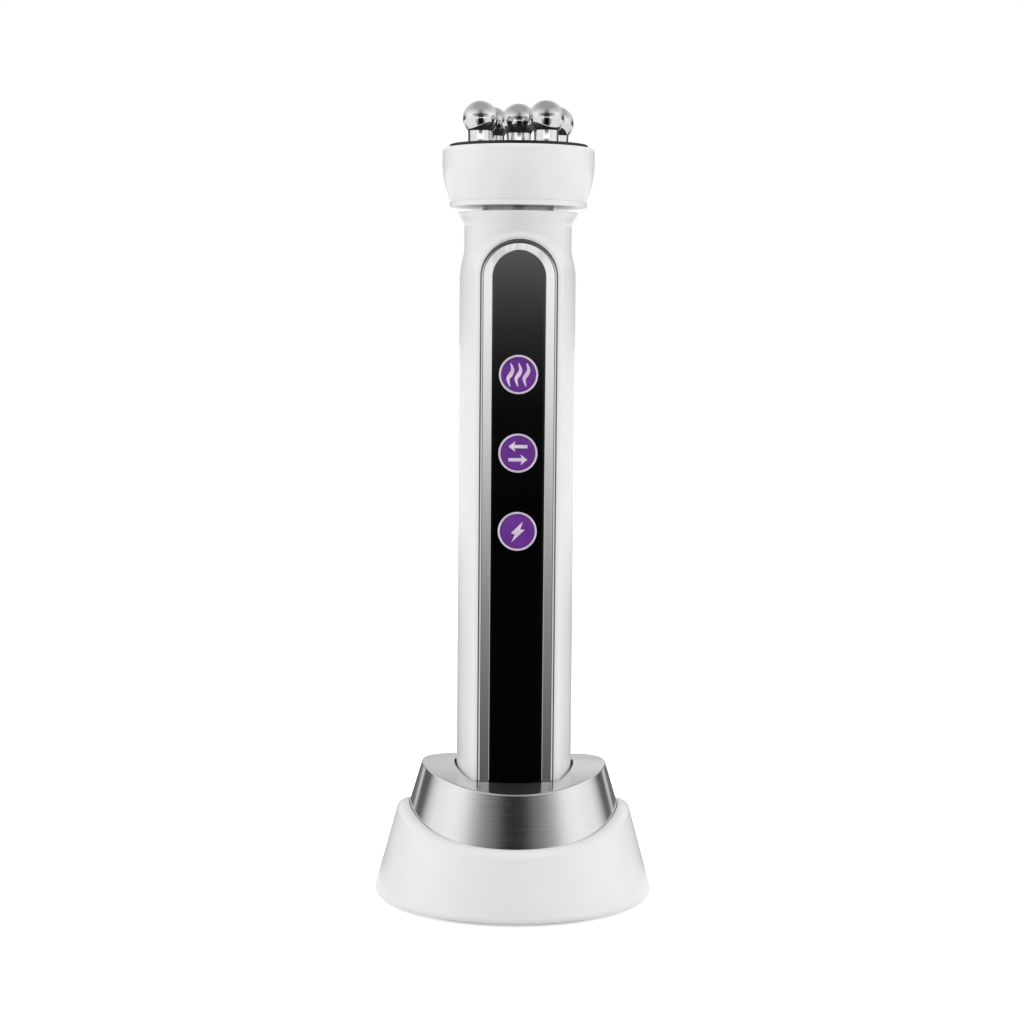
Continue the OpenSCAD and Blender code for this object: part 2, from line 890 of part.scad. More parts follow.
module planet_gear(a) {
  color(brassy) rotate(a) translate([orbit_r, 0, gear_low_z]) difference() {
    linear_extrude(gear_h) gear(planet_teeth);
    translate([0, 0, -1]) cylinder(r = pin_hole_r + turn_fit, h = gear_h + 2, $fn = 48);
  }
}

module planet_gear_1() {
  planet_gear(0);
}

module planet_gear_2() {
  planet_gear(120);
}

module planet_gear_3() {
  planet_gear(240);
}

module gearbox_screw_places() {
  for (a = [60, 180, 300]) rotate(a) translate([gearbox_screw_circle, 0, 0]) children();
}

module ring_gear() {
  color(dark) difference() {
    rod(housing_r, gearbox_z, housing_top_z);
    rod(3 + set_fit, gearbox_z - 1, gearbox_z + 3);
    at_z(gear_low_z - 0.7) linear_extrude(gear_h + 2) ring_space();
    rod(carrier_bore_r, carrier_low_z - 0.3, housing_top_z + 1);
    gearbox_screw_places() rod(gearbox_screw_r + set_fit, housing_top_z - 5, housing_top_z + 1);
    wire_groove(gearbox_z - 1, housing_top_z + 1);
  }
}

module planet_carrier() {
  color(steel) {
    rod(carrier_r, carrier_low_z, carrier_low_z + carrier_t);
    for (a = [0:120:240]) rotate(a) translate([orbit_r, 0, 0])
      rod(pin_hole_r, gear_low_z - 0.3, carrier_low_z + eps, $fn = 48);
    difference() {
      rod(output_r, carrier_low_z + 1, hub_top_z - 5.4);
      rod(0.9, hub_top_z - 11, hub_top_z);
    }
  }
}

module gearbox_cover() {
  color(dark) difference() {
    rod(housing_r, housing_top_z, cover_top_z);
    rod(bushing_r + set_fit, cover_top_z - bushing_t, cover_top_z + 1);
    rod(output_r + 0.4, housing_top_z - 1, cover_top_z);
    gearbox_screw_places() rod(gearbox_screw_r + turn_fit, housing_top_z - 1, cover_top_z + 1);
    gearbox_screw_places() rod(1.15, cover_top_z - 1, cover_top_z + 1);
    wire_groove(housing_top_z - 1, cover_top_z + 1);
  }
}

module gearbox_screws() {
  color(steel) gearbox_screw_places() {
    rod(gearbox_screw_r, housing_top_z - 4.8, cover_top_z - 0.5);
    rod(1.1, cover_top_z - 1, cover_top_z - 0.1);
  }
}

module output_bushing() {
  color(brassy) tube(bushing_r, output_r + turn_fit, cover_top_z - bushing_t, cover_top_z);
}

// The wires to the brushes come up a groove behind the gearbox
module wire_groove(z0, z1) {
  box(-1.3, 1.3, brush_back_y, 12.3, z0, z1);
}

module brush_holder() {
  color(dark) intersection() {
    difference() {
      tube(housing_r, slip_r + 1.2, cover_top_z, brush_top_z);
      for (k = [0, 1]) at_z(slip_low_z + k * slip_step) box(-0.85, 0.85, 0, 20, 0.15, 0.85);
      wire_groove(cover_top_z - 1, brush_top_z + 1);
    }
    box(-3, 3, 0, 20, 0, 200);
  }
}

module contact_brushes() {
  color(brassy) for (k = [0, 1]) at_z(slip_low_z + k * slip_step)
    box(-0.8, 0.8, slip_r + 0.06, brush_back_y, 0.2, 0.8);
}

module wire(points) {
  for (i = [0:len(points) - 2]) {
    run = points[i + 1] - points[i];
    translate(points[i]) rotate([0, acos(run[2] / norm(run)), atan2(run[1], run[0])])
      cylinder(r = wire_r, h = norm(run), $fn = 24);
  }
  for (i = [1:len(points) - 2]) translate(points[i]) sphere(r = wire_r, $fn = 24);
}

// Each pair of wires ends on the back of the control board
module lead_wires() {
  bell_z = can_low_z - end_bell_h;
  color([0.5, 0.1, 0.1]) {
    for (x = [-pin_x, pin_x]) wire([
      [x, 0, wand_z + 3.4], [x, 0, plank_low_z + 1.2], [x, 9.6, plank_low_z + 1.2],
      [x, 9.6, bell_z - 18.5], [x, -plank_front_d, bell_z - 18.5]
    ]);
    for (x = [-1.4, 1.4]) wire([
      [x, 0, battery_low_z + battery_h], [x, 0, bell_z - 22.5], [x, -plank_front_d, bell_z - 22.5]
    ]);
    for (x = [-4.5, 4.5]) wire([
      [x, 0, bell_z + 1], [x, 0, bell_z - 14.5], [x, -plank_front_d, bell_z - 14.5]
    ]);
    for (k = [0, 1]) wire([
      [k * 1.2 - 0.6, brush_back_y, slip_low_z + k * slip_step + 0.5],
      [k * 1.2 - 0.6, brush_back_y + 0.6, slip_low_z + k * slip_step + 0.5],
      [k * 1.2 - 0.6, brush_back_y + 0.6, bell_z - 10.5],
      [k * 1.2 - 0.6, -plank_front_d, bell_z - 10.5]
    ]);
  }
}

// Head
module slip_rings() {
  color(brassy) for (k = [0, 1])
    tube(slip_r, slip_core_r + set_fit, slip_low_z + k * slip_step, slip_low_z + k * slip_step + slip_t);
}

module hub_screw_places() {
  for (a = [30:120:270]) rotate(a) translate([hub_screw_circle_r, 0, 0]) children();
}

module head_hub() {
  color([0.35, 0.35, 0.37]) difference() {
    union() {
      rod(slip_core_r, cover_top_z + 0.4, hub_low_z + 1);
      rod(hub_r, hub_low_z, base_floor_z + 1);
      rod(hub_flange_r, base_floor_z, hub_top_z);
    }
    rod(output_r + set_fit, cover_top_z, hub_top_z - 5.4);
    rod(1 + turn_fit, cover_top_z, hub_top_z + 1);
    hub_screw_places() rod(0.8 + turn_fit, base_floor_z - 1, hub_top_z + 1);
  }
}

module head_base() {
  seam_r = head_arc_x(head_seam_z, head_wall) - set_fit;
  color(white) difference() {
    union() {
      rod(head_lip_r - 0.15, head_low_z, head_low_z + 0.3);
      rod(head_lip_r, head_low_z + 0.2, head_seam_z);
      rod(hub_flange_r + 1.2, head_seam_z - 0.1, base_floor_z);
      tube(seam_r, seam_r - 1.4, head_seam_z - 0.1, head_seam_z + 2.6);
    }
    rod(hub_r + 0.1, 0, 300);
    hub_screw_places() rod(0.8 + set_fit, head_low_z + 0.8, 300);
  }
}

function head_arc_x(z, o) = head_r - o - head_arc_r + sqrt(head_arc_r * head_arc_r - pow(z - head_arc_z, 2));
head_side_h = head_top_z - head_edge_r - head_seam_z;
function head_arc(o) = [for (i = [0:9]) let(z = head_seam_z + head_side_h * i / 9) [head_arc_x(z, o), z]];

module head_shell() {
  ledge_z = plate_low;
  color(white) rotate_extrude($fn = 180) difference() {
    union() {
      polygon(concat([[12, head_seam_z]], head_arc(0), [[12, head_top_z - head_edge_r]]));
      translate([head_arc_x(head_top_z - head_edge_r, 0) - head_edge_r, head_top_z - head_edge_r])
        circle(r = head_edge_r, $fn = 48);
    }
    polygon(concat([[0, head_seam_z - 1], [head_arc(head_wall)[0][0], head_seam_z - 1]],
      [for (p = head_arc(head_wall)) if (p[1] < ledge_z - 1.2) p],
      [[head_r - head_wall - 0.2, ledge_z - 1.2], [plate_r - 1, ledge_z], [0, ledge_z]]));
    translate([0, ledge_z - eps]) square([plate_r + 0.05, 10]);
  }
}

module ball_places() {
  children();
  for (k = [0:3]) rotate(ball_turn + 90 * k) translate([ball_circle_r, 0, 0]) children();
}

module head_plate() {
  color(dark) difference() {
    rod(plate_r - gasket_w, plate_low, plate_face);
    ball_places() rod(stud_r + turn_fit, plate_low - 1, plate_top + 1);
  }
}

// The gasket round the plate and the insulating collar under each ball
module plate_seals() {
  color(dark) {
    difference() {
      union() {
        rod(plate_r, plate_low, plate_top - plate_edge);
        at_z(plate_top - plate_edge - eps)
          cylinder(r1 = plate_r, r2 = plate_r - plate_edge, h = plate_edge + eps, $fn = 180);
      }
      rod(plate_r - gasket_w + set_fit, plate_low - 1, plate_top + 1);
    }
    ball_places() tube(insulator_r, stud_r + turn_fit, plate_face, plate_top);
  }
}

module heater_board() {
  color([0.75, 0.5, 0.2]) difference() {
    rod(plate_r - 1.4, heater_top - heater_t, heater_top);
    ball_places() rod(stud_r + turn_fit, heater_top - 5, heater_top + 1);
  }
}

module ball_electrode() {
  color(steel) {
    rod(stem_r, plate_top, ball_z);
    at_z(ball_z) sphere(r = ball_r, $fn = 96);
    rod(stud_r, heater_top - heater_t - nut_t - 0.4, plate_top + 1);
    tube(stem_r - 0.4, stud_r - 0.2, heater_top, plate_low);
  }
}

module outer_ball(k) {
  rotate(ball_turn + 90 * k) translate([ball_circle_r, 0, 0]) ball_electrode();
}

module centre_ball() {
  ball_electrode();
}

module back_right_ball() {
  outer_ball(0);
}

module back_left_ball() {
  outer_ball(1);
}

module front_left_ball() {
  outer_ball(2);
}

module front_right_ball() {
  outer_ball(3);
}

module electrode_nuts() {
  low = heater_top - heater_t - nut_t;
  color(steel) ball_places() difference() {
    at_z(low) cylinder(r = nut_r, h = nut_t, $fn = 6);
    rod(stud_r + set_fit, low - 1, low + 5);
  }
}

module hub_screws() {
  color(steel) {
    hub_screw_places() {
      rod(0.8, head_low_z + 1, hub_top_z + 0.5);
      rod(1.5, hub_top_z, hub_top_z + 1);
    }
    rod(0.85, hub_top_z - 10.6, hub_top_z + 0.5);
    rod(1.9, hub_top_z, hub_top_z + 1.2);
  }
}

stand_shell();
stand_collar();
cradle_cup();
pin_block();
charge_board();
power_socket();
ballast_ring();
base_plate();
rubber_feet();
base_screws();
charge_pin_left();
charge_pin_right();
front_shell();
rear_shell();
neck_ring();
shaft_seal();
bottom_cap();
contact_pads();
trim_frame();
control_panel();
button_rings();
tact_switches();
control_board();
chassis();
chassis_screws();
battery_cell();
motor_can();
motor_magnets();
motor_end_bell();
ring_gear();
gearbox_cover();
gearbox_screws();
output_bushing();
brush_holder();
contact_brushes();
lead_wires();
heat_button();
direction_button();
power_button();
motor_shaft();
armature();
sun_gear();
planet_gear_1();
planet_gear_2();
planet_gear_3();
planet_carrier();
head_hub();
slip_rings();
head_base();
head_shell();
head_plate();
plate_seals();
heater_board();
centre_ball();
back_right_ball();
back_left_ball();
front_left_ball();
front_right_ball();
electrode_nuts();
hub_screws();
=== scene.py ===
import json
import math
import bpy
from mathutils import Matrix, Vector


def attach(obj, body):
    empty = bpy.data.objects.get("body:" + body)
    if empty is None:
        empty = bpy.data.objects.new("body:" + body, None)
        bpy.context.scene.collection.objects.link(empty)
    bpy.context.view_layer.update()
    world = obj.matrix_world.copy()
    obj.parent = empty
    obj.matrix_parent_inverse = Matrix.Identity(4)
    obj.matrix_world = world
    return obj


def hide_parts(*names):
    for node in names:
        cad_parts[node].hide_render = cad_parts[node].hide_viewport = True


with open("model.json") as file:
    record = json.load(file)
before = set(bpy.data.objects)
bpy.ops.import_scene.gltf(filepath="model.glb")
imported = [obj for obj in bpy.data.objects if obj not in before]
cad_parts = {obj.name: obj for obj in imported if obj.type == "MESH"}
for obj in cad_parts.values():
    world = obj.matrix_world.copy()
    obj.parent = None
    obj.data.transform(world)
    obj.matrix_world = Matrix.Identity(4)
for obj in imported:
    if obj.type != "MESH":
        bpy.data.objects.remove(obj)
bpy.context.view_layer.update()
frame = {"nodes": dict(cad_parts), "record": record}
nodes = frame["nodes"]
MM = 0.001

# ---------------------------------------------------------------- sizes, in millimetres
# The wand's section: a half circle behind, two long sides, a flat curved front, and an edge between them
HALF_W = 14.4
SIDE_R = 34.0
CROWN_R = 45.0
EDGE_R = 1.5
FRONT_D = 17.2
SIDE_X = HALF_W - SIDE_R
CROWN_Y = CROWN_R - FRONT_D
WALL = 1.75
# Heights on the wand, and its neck
CAP_TOP = 13.6
SHOULDER_Z = 155.3
NECK_TOP = 168.0
NECK_R = 13.3
NECK_BORE_R = 11.6
NECK_BLEND = 0.9
# The control strip: where its lower end turns, its widths, and its bed in the shell
STRIP_LOW = 26.0
TRIM_W = 18.9
PANEL_W = 13.0
BED_DEPTH = 0.8
BED_MARGIN = 0.8
PANEL_T = 0.9
BUTTON_Z = (93.8, 112.85, 131.9)
BUTTON_HOLE_R = 4.77
CAP_FRONT = 17.25


# ---------------------------------------------------------------- meshes
def mesh_object(name, verts, faces, smooth_angle=30.0):
    """A mesh from points in millimetres, smooth except where faces meet at more than smooth_angle."""
    mesh = bpy.data.meshes.new(name)
    mesh.from_pydata([(x * MM, y * MM, z * MM) for x, y, z in verts], [], faces)
    mesh.validate()
    mesh.update()
    obj = bpy.data.objects.new(name, mesh)
    bpy.context.scene.collection.objects.link(obj)
    bpy.context.view_layer.update()
    mesh.polygons.foreach_set("use_smooth", [True] * len(mesh.polygons))
    mesh.set_sharp_from_angle(angle=math.radians(smooth_angle))
    return obj


def grid_faces(rows, cols, close_rows=False, close_cols=False):
    """Quads over a grid of points stored row by row."""
    faces = []
    for i in range(rows if close_rows else rows - 1):
        for j in range(cols if close_cols else cols - 1):
            a = i * cols + j
            b = i * cols + (j + 1) % cols
            c = ((i + 1) % rows) * cols + (j + 1) % cols
            d = ((i + 1) % rows) * cols + j
            faces.append((a, b, c, d))
    return faces


def turned(name, profile, point, steps, smooth_angle=30.0):
    """A closed profile of (radius, distance along) turned round the axis of point. Radius 0 makes a pole."""
    verts, rings = [], []
    for r, d in profile:
        if r < 1e-6:
            rings.append([len(verts)] * steps)
            verts.append(point(0, 0, d))
        else:
            rings.append([len(verts) + j for j in range(steps)])
            for j in range(steps):
                a = 2 * math.pi * j / steps
                verts.append(point(r * math.cos(a), r * math.sin(a), d))
    faces = []
    for low, high in zip(rings, rings[1:] + rings[:1]):
        for j in range(steps):
            k = (j + 1) % steps
            face = []
            for v in (low[j], low[k], high[k], high[j]):
                if v not in face:
                    face.append(v)
            if len(face) > 2:
                faces.append(tuple(face))
    return mesh_object(name, verts, faces, smooth_angle)


def revolve(name, profile, steps=192, centre=(0, 0), smooth_angle=30.0):
    """A profile of (radius, z) turned round a vertical axis."""
    return turned(name, profile, lambda u, v, d: (centre[0] + u, centre[1] + v, d), steps, smooth_angle)


def facing(name, profile, z):
    """A profile of (radius, depth) turned round an axis that points to the front at height z."""
    return turned(name, profile, lambda u, v, d: (u, -d, z + v), 96)


def cut_away(obj, cutter):
    """Take the cutter's shape out of a piece, and the cutter out of the scene."""
    hole = obj.modifiers.new("cut", "BOOLEAN")
    hole.operation = "DIFFERENCE"
    hole.solver = "EXACT"
    hole.object = cutter
    bpy.context.view_layer.objects.active = obj
    bpy.ops.object.modifier_apply(modifier=hole.name)
    bpy.data.objects.remove(cutter)


def arc(cx, cy, r, a0, a1, n):
    """Points on an arc, angles in degrees."""
    out = []
    for i in range(n + 1):
        a = math.radians(a0 + (a1 - a0) * i / n)
        out.append((cx + r * math.cos(a), cy + r * math.sin(a)))
    return out


# ---------------------------------------------------------------- the wand's outline
def circle_meet(a, ra, b, rb):
    """Where the circles round a and b cross, on the front side."""
    dx, dy = b[0] - a[0], b[1] - a[1]
    d = math.hypot(dx, dy)
    ux, uy = dx / d, dy / d
    t = (ra * ra - rb * rb + d * d) / (2 * d)
    h = math.sqrt(ra * ra - t * t)
    return (a[0] + t * ux + h * uy, a[1] + t * uy - h * ux)


EDGE_C = circle_meet((SIDE_X, 0), SIDE_R - EDGE_R, (0, CROWN_Y), CROWN_R - EDGE_R)
EDGE_A0 = math.atan2(EDGE_C[1], EDGE_C[0] - SIDE_X)
EDGE_A1 = math.atan2(EDGE_C[1] - CROWN_Y, EDGE_C[0])


def half_width(y, o):
    """Half of the wand's width at y, on the face that lies o inside the outer one.

    None beyond the front or back.
    """
    if y >= 0:
        r = HALF_W - o
        return math.sqrt(r * r - y * y) if y <= r else None
    r = max(EDGE_R - o, 0.02)
    y_side = EDGE_C[1] + r * math.sin(EDGE_A0)
    y_crown = EDGE_C[1] + r * math.sin(EDGE_A1)
    if y >= y_side:
        return SIDE_X + math.sqrt((SIDE_R - o) ** 2 - y * y)
    if y >= y_crown:
        return EDGE_C[0] + math.sqrt(max(r * r - (y - EDGE_C[1]) ** 2, 0))
    k = (CROWN_R - o) ** 2 - (y - CROWN_Y) ** 2
    return math.sqrt(k) if k > 0 else None


def body_radius(angle, rise, o):
    """Distance from the axis to the body's face at an angle, rise above the shoulder's middle."""
    c, s = math.cos(angle), math.sin(angle)
    low, high = 0.0, 24.0
    for _ in range(34):
        mid = (low + high) / 2
        w = half_width(mid * s, o)
        if w is not None and w * w >= rise * rise + (mid * c) ** 2:
            low = mid
        else:
            high = mid
    return low


def soft_max(a, b, k):
    """The larger of a and b, rounded over where they are within k of each other."""
    h = max(k - abs(a - b), 0) / k
    return max(a, b) + h * h * k / 4


def strip_half(z, w):
    """Half width of the control strip's outline at a height."""
    if STRIP_LOW <= z <= SHOULDER_Z:
        return w / 2
    dz = z - SHOULDER_Z if z > SHOULDER_Z else STRIP_LOW - z
    k = w * w / 4 - dz * dz
    return math.sqrt(k) if k > 0 else 0.0


def crown_d(x):
    """Depth of the strip's curved face in front of the axis."""
    return math.sqrt(CROWN_R ** 2 - x * x) - CROWN_Y


def shell_angles(start):
    """Angles over half a turn, close together at the front edges."""
    front_edges, near_steps, near_step = (-57.0, -123.0), 12, 0.35
    out = [start + math.pi * i / 120 for i in range(121)]
    for centre in front_edges:
        for i in range(-near_steps, near_steps + 1):
            a = math.radians(centre + i * near_step)
            if start < a < start + math.pi:
                out.append(a)
    return sorted(set(round(a, 6) for a in out))


def shell_heights():
    """Heights of the shell's rows, close together over the shoulder."""
    out = [CAP_TOP + 0.02, CAP_TOP + 0.25, 16.0, 20.0, 30.0]
    for z, end, step in ((40.0, 146.0, 8.0), (146.0, 162.0, 0.5), (162.0, NECK_TOP, 0.11)):
        while z < end:
            out.append(z)
            z += step
    return out + [NECK_TOP]


def wand_shell(name, start):
    """Half of the wand's shell: its outer face with the strip's bed, its inner face, and the edges between."""
    angles = shell_angles(start)
    heights = shell_heights()
    outer, inner = [], []
    for z in heights:
        rise = max(z - SHOULDER_Z, 0)
        for a in angles:
            r = body_radius(a, rise, 0) if rise < HALF_W else 0
            q = body_radius(a, rise, WALL) if rise < HALF_W - WALL else 0
            if rise > 0:
                r = soft_max(r, NECK_R, NECK_BLEND)
                q = max(q, NECK_BORE_R)
            x, y = r * math.cos(a), r * math.sin(a)
            if y < 0 and abs(x) < strip_half(z, TRIM_W - 2 * BED_MARGIN):
                y += BED_DEPTH
            outer.append((x, y, z))
            inner.append((q * math.cos(a), q * math.sin(a), z))
    rows, cols = len(heights), len(angles)
    loop = []
    for i in range(rows):
        loop += outer[i * cols:(i + 1) * cols]
        loop += inner[i * cols:(i + 1) * cols][::-1]
    wide = 2 * cols
    faces = grid_faces(rows, wide, close_cols=True)
    for j in range(cols - 1):
        for base, flip in ((0, False), ((rows - 1) * wide, True)):
            f = (base + j, base + wide - 1 - j, base + wide - 2 - j, base + j + 1)
            faces.append(f[::-1] if flip else f)
    return mesh_object(name, loop, faces, 40)


# ---------------------------------------------------------------- the stand's outline
# The foot: its radius at a height, how its wall leans in, its edge, its skirt and its rim
FOOT_R, FOOT_R_Z, LEAN, STAND_WALL = 35.0, 1.5, 0.272, 2.5
FOOT_LOW, FOOT_EDGE_R, SKIRT_W, SKIRT_TOP = 0.5, 1.5, 3.3, 5.0
RIM_MEAN, RIM_WAVE, RIM_RIPPLE = 20.2, 3.07, 0.43
RIM_ROUND_H, RIM_CREST_W = 2.1, 0.45
# The collar: its top edge at the sides, how it leans, the arch of its top face, and its wall
COLLAR_TOP_R, COLLAR_TOP_Z, COLLAR_LEAN, COLLAR_ARCH, COLLAR_APEX_Y = 23.1, 34.0, 0.3, 87.0, 1.3
COLLAR_GAP, COLLAR_WALL, LAND_T, COLLAR_LOW = 0.55, 1.2, 1.5, 16.0
# Each edge of the collar is small and has a row of its own beside it, so that the faces shade evenly
COLLAR_EDGE, EDGE_ROW, MOUTH_ROW = 0.16, 0.2, 0.3


def wall_r(z):
    """Radius of the foot's wall."""
    return FOOT_R - LEAN * (z - FOOT_R_Z)


def collar_r(z):
    """Radius of the collar's outside."""
    return COLLAR_TOP_R + COLLAR_LEAN * (COLLAR_TOP_Z - z)


def arch_z(y, r, apex_y, apex_z):
    """Height of an arch of radius r that runs from front to back."""
    return apex_z - r + math.sqrt(r * r - (y - apex_y) ** 2)


def sweep(name, profile_at, steps=288):
    """A closed profile of (radius, z) that changes with the angle round the axis."""
    verts = []
    count = 0
    for j in range(steps):
        a = 2 * math.pi * j / steps
        points = profile_at(a)
        count = len(points)
        verts += [(r * math.cos(a), r * math.sin(a), z) for r, z in points]
    return mesh_object(name, verts, [f[::-1] for f in grid_faces(steps, count, True, True)])


def rim_z(a):
    """Height of the rim where it meets the collar: high at the sides, low at the front and back."""
    return RIM_MEAN + RIM_WAVE * math.cos(2 * a) + RIM_RIPPLE * math.cos(4 * a)


def stand_profile(a):
    """The foot's wall at an angle: skirt, outside, rounded rim, the step to the collar, and inside."""
    z = rim_z(a)
    inner = collar_r(z) + 0.1
    crest = inner + RIM_CREST_W
    rim_low = z - RIM_ROUND_H
    round_w = wall_r(rim_low) - crest
    lean = math.atan(LEAN)
    edge_z = FOOT_LOW + FOOT_EDGE_R
    edge_c = wall_r(edge_z + FOOT_EDGE_R * math.sin(lean)) - FOOT_EDGE_R * math.cos(lean)
    skirt = FOOT_R - SKIRT_W
    out = [(skirt, SKIRT_TOP), (skirt, FOOT_LOW), (edge_c, FOOT_LOW)]
    out += arc(edge_c, edge_z, FOOT_EDGE_R, -80, math.degrees(lean), 10)
    # Two of these rows lie just below the socket's opening and two just above it, and keep its cut from shading
    out += [(wall_r(row), row) for row in (5.0, 5.8, 9.6, 10.4)]
    out += [(wall_r(rim_low - 0.4), rim_low - 0.4)]
    for i in range(17):
        t = math.radians(90 * i / 16)
        out.append((crest + round_w * math.cos(t), rim_low + (RIM_ROUND_H + 0.12) * math.sin(t)))
    out += [(inner + 0.2, z + 0.1), (inner + 0.06, z + 0.03), (inner, z - 0.1)]
    out += [(collar_r(17.6) + 0.1 if z > 18.2 else inner, min(z - 0.6, 17.6))]
    out += [(wall_r(low) - STAND_WALL, low) for low in (14.0, 6.0)]
    return out


def hole_r(a):
    """Distance from the axis to the edge of the collar's hole."""
    return body_radius(a, 0, -COLLAR_GAP)


def collar_profile(a):
    """The collar's section at an angle: outside, top face down to the hole, and inside."""
    s = math.sin(a)

    def land(r, drop=0.0):
        return arch_z(r * s, COLLAR_ARCH - drop, COLLAR_APEX_Y, COLLAR_TOP_Z - drop)

    z = COLLAR_TOP_Z
    for _ in range(8):
        r = collar_r(z)
        z = land(r)
    h = hole_r(a)
    low = z - COLLAR_EDGE
    start = r - COLLAR_EDGE - EDGE_ROW
    end = h + MOUTH_ROW
    out = [(collar_r(COLLAR_LOW), COLLAR_LOW), (collar_r(20), 20.0), (collar_r(low - EDGE_ROW), low - EDGE_ROW)]
    out += [(collar_r(low), low), (r - 0.05, z - 0.05), (r - COLLAR_EDGE, land(r - COLLAR_EDGE))]
    for i in range(9):
        q = start + (end - start) * i / 8
        out.append((q, land(q)))
    out += [(h + 0.15, land(h + 0.15)), (h + 0.05, land(h) - 0.05), (h, land(h) - 0.3), (h, land(h, LAND_T))]
    q = r - COLLAR_WALL
    out += [((h + q) / 2, land((h + q) / 2, LAND_T)), (q - 0.1, land(q, LAND_T))]
    out += [(collar_r(COLLAR_LOW) - COLLAR_WALL, COLLAR_LOW)]
    return out


# ---------------------------------------------------------------- the control strip
def stadium(half):
    """Points and outward directions round the strip's outline, half being its half width."""
    out = []
    n_side, n_end = 60, 48
    length = SHOULDER_Z - STRIP_LOW
    for side, foot, top in ((1, STRIP_LOW, SHOULDER_Z), (-1, SHOULDER_Z, STRIP_LOW)):
        for i in range(n_side):
            out.append((side * half, foot + side * length * i / n_side, side, 0))
        for i in range(n_end):
            a = math.pi * i / n_end + (0 if side > 0 else math.pi)
            out.append((half * math.cos(a), top + half * math.sin(a), math.cos(a), math.sin(a)))
    return out


# Faces of the frame, counted outward over its section: polished bevels, and grooves, step and walls that carry
# painted shade. The rest is its wide band.
TRIM_BRIGHT = (1, 6, 7)
TRIM_SHADE_PAINTED = (0, 3, 4, 5, 8, 9, 10, 11)


def trim_ring(name):
    """The bright frame: a wide band, a thin line, a narrow band, and a step that widens over the arch, with
    painted shade in its grooves, step and walls.
    """
    path = stadium(PANEL_W / 2)
    width = (TRIM_W - PANEL_W) / 2
    band_h, floor_h, step_h = 0.11, 0.0, 0.012
    verts = []
    cols = 0
    for x, z, nx, nz in path:
        up = max(nz, 0) ** 2 if z > SHOULDER_Z - 1 else 0
        edge = width - 0.17 * up
        step = edge - 0.36 - 0.44 * up
        line = step - 0.42 + 0.20 * up
        profile = [
            (0.0, -1.0), (0.0, 0.03), (0.10, band_h),
            (line - 0.07, band_h), (line - 0.04, floor_h), (line + 0.04, floor_h), (line + 0.07, band_h),
            (step - 0.02, 0.03 + 0.07 * up), (step, 0.02), (step + 0.02, step_h),
            (edge - 0.03, step_h), (edge - 0.01, -1.0),
        ]
        cols = len(profile)
        for u, h in profile:
            px, pz = x + u * nx, z + u * nz
            verts.append((px, -(crown_d(px) + h), pz))
    obj = mesh_object(name, verts, grid_faces(len(path), cols, True, True), 8)
    # The third material is the painted shade on the frame's grooves, step and walls
    paint(obj, satin, edge_bright, groove_shade_paint)
    for i, face in enumerate(obj.data.polygons):
        face.material_index = 1 if i % cols in TRIM_BRIGHT else 2 if i % cols in TRIM_SHADE_PAINTED else 0
    return obj


def panel_plate(name):
    """The black plate: its curved face, with three round holes for the rings."""
    half = PANEL_W / 2 - 0.02
    cols, n_arc, n_mid = 27, 30, 120
    turns = [math.pi / 2 * (i + 0.5) / n_arc for i in range(n_arc)]
    heights = [STRIP_LOW - half * math.cos(a) for a in turns]
    heights += [STRIP_LOW + (SHOULDER_Z - STRIP_LOW) * i / n_mid for i in range(n_mid + 1)]
    heights += [SHOULDER_Z + half * math.sin(a) for a in turns]
    front, back = [], []
    for z in heights:
        dz = max(0, z - SHOULDER_Z, STRIP_LOW - z)
        w = math.sqrt(max(half * half - dz * dz, 0.0004))
        for j in range(cols):
            x = -w + 2 * w * j / (cols - 1)
            d = crown_d(x)
            front.append((x, -d, z))
            back.append((x, -(d - PANEL_T), z))
    rows = len(heights)
    off = rows * cols
    faces = grid_faces(rows, cols)
    faces += [tuple(off + v for v in f[::-1]) for f in grid_faces(rows, cols)]
    rim = list(range(cols)) + [i * cols + cols - 1 for i in range(1, rows)]
    rim += [(rows - 1) * cols + j for j in range(cols - 2, -1, -1)] + [i * cols for i in range(rows - 2, 0, -1)]
    for a, b in zip(rim, rim[1:] + rim[:1]):
        faces.append((b, a, off + a, off + b))
    obj = mesh_object(name, front + back, faces)
    for z in BUTTON_Z:
        bpy.ops.mesh.primitive_cylinder_add(
            vertices=96, radius=BUTTON_HOLE_R * MM, depth=8 * MM, location=(0, -17 * MM, z * MM),
            rotation=(math.pi / 2, 0, 0))
        cut_away(obj, bpy.context.object)
    return obj


# How far a sign stands out of its button's face, and how far it reaches in
SIGN_LIFT, SIGN_DEPTH = 0.02, 0.2


def raised(name, outline, z):
    """A thin flat sign on a button at height z: outline points (x, y) from the button's centre."""
    n = len(outline)
    verts = [(x, -(CAP_FRONT + SIGN_LIFT), z + y) for x, y in outline]
    verts += [(x, -(CAP_FRONT - SIGN_DEPTH), z + y) for x, y in outline]
    faces = [tuple(range(n)), tuple(range(2 * n - 1, n - 1, -1))]
    for i in range(n):
        j = (i + 1) % n
        faces.append((j, i, n + i, n + j))
    return mesh_object(name, verts, faces)


def ribbon(points, widths):
    """An outline round a bent line whose width changes along it."""
    left, right = [], []
    for i, (x, y) in enumerate(points):
        a = points[max(i - 1, 0)]
        b = points[min(i + 1, len(points) - 1)]
        dx, dy = b[0] - a[0], b[1] - a[1]
        length = math.hypot(dx, dy)
        nx, ny = -dy / length, dx / length
        w = widths[i] / 2
        left.append((x + nx * w, y + ny * w))
        right.append((x - nx * w, y - ny * w))
    return left + right[::-1]


# ---------------------------------------------------------------- materials
def linear(code):
    """A colour written as #rrggbb, in linear light."""
    out = []
    for i in (1, 3, 5):
        c = int(code[i:i + 2], 16) / 255
        out.append(c / 12.92 if c <= 0.04045 else ((c + 0.055) / 1.055) ** 2.4)
    return (*out, 1.0)


def grey(v):
    """A grey of one level, in linear light."""
    return (v, v, v, 1.0)


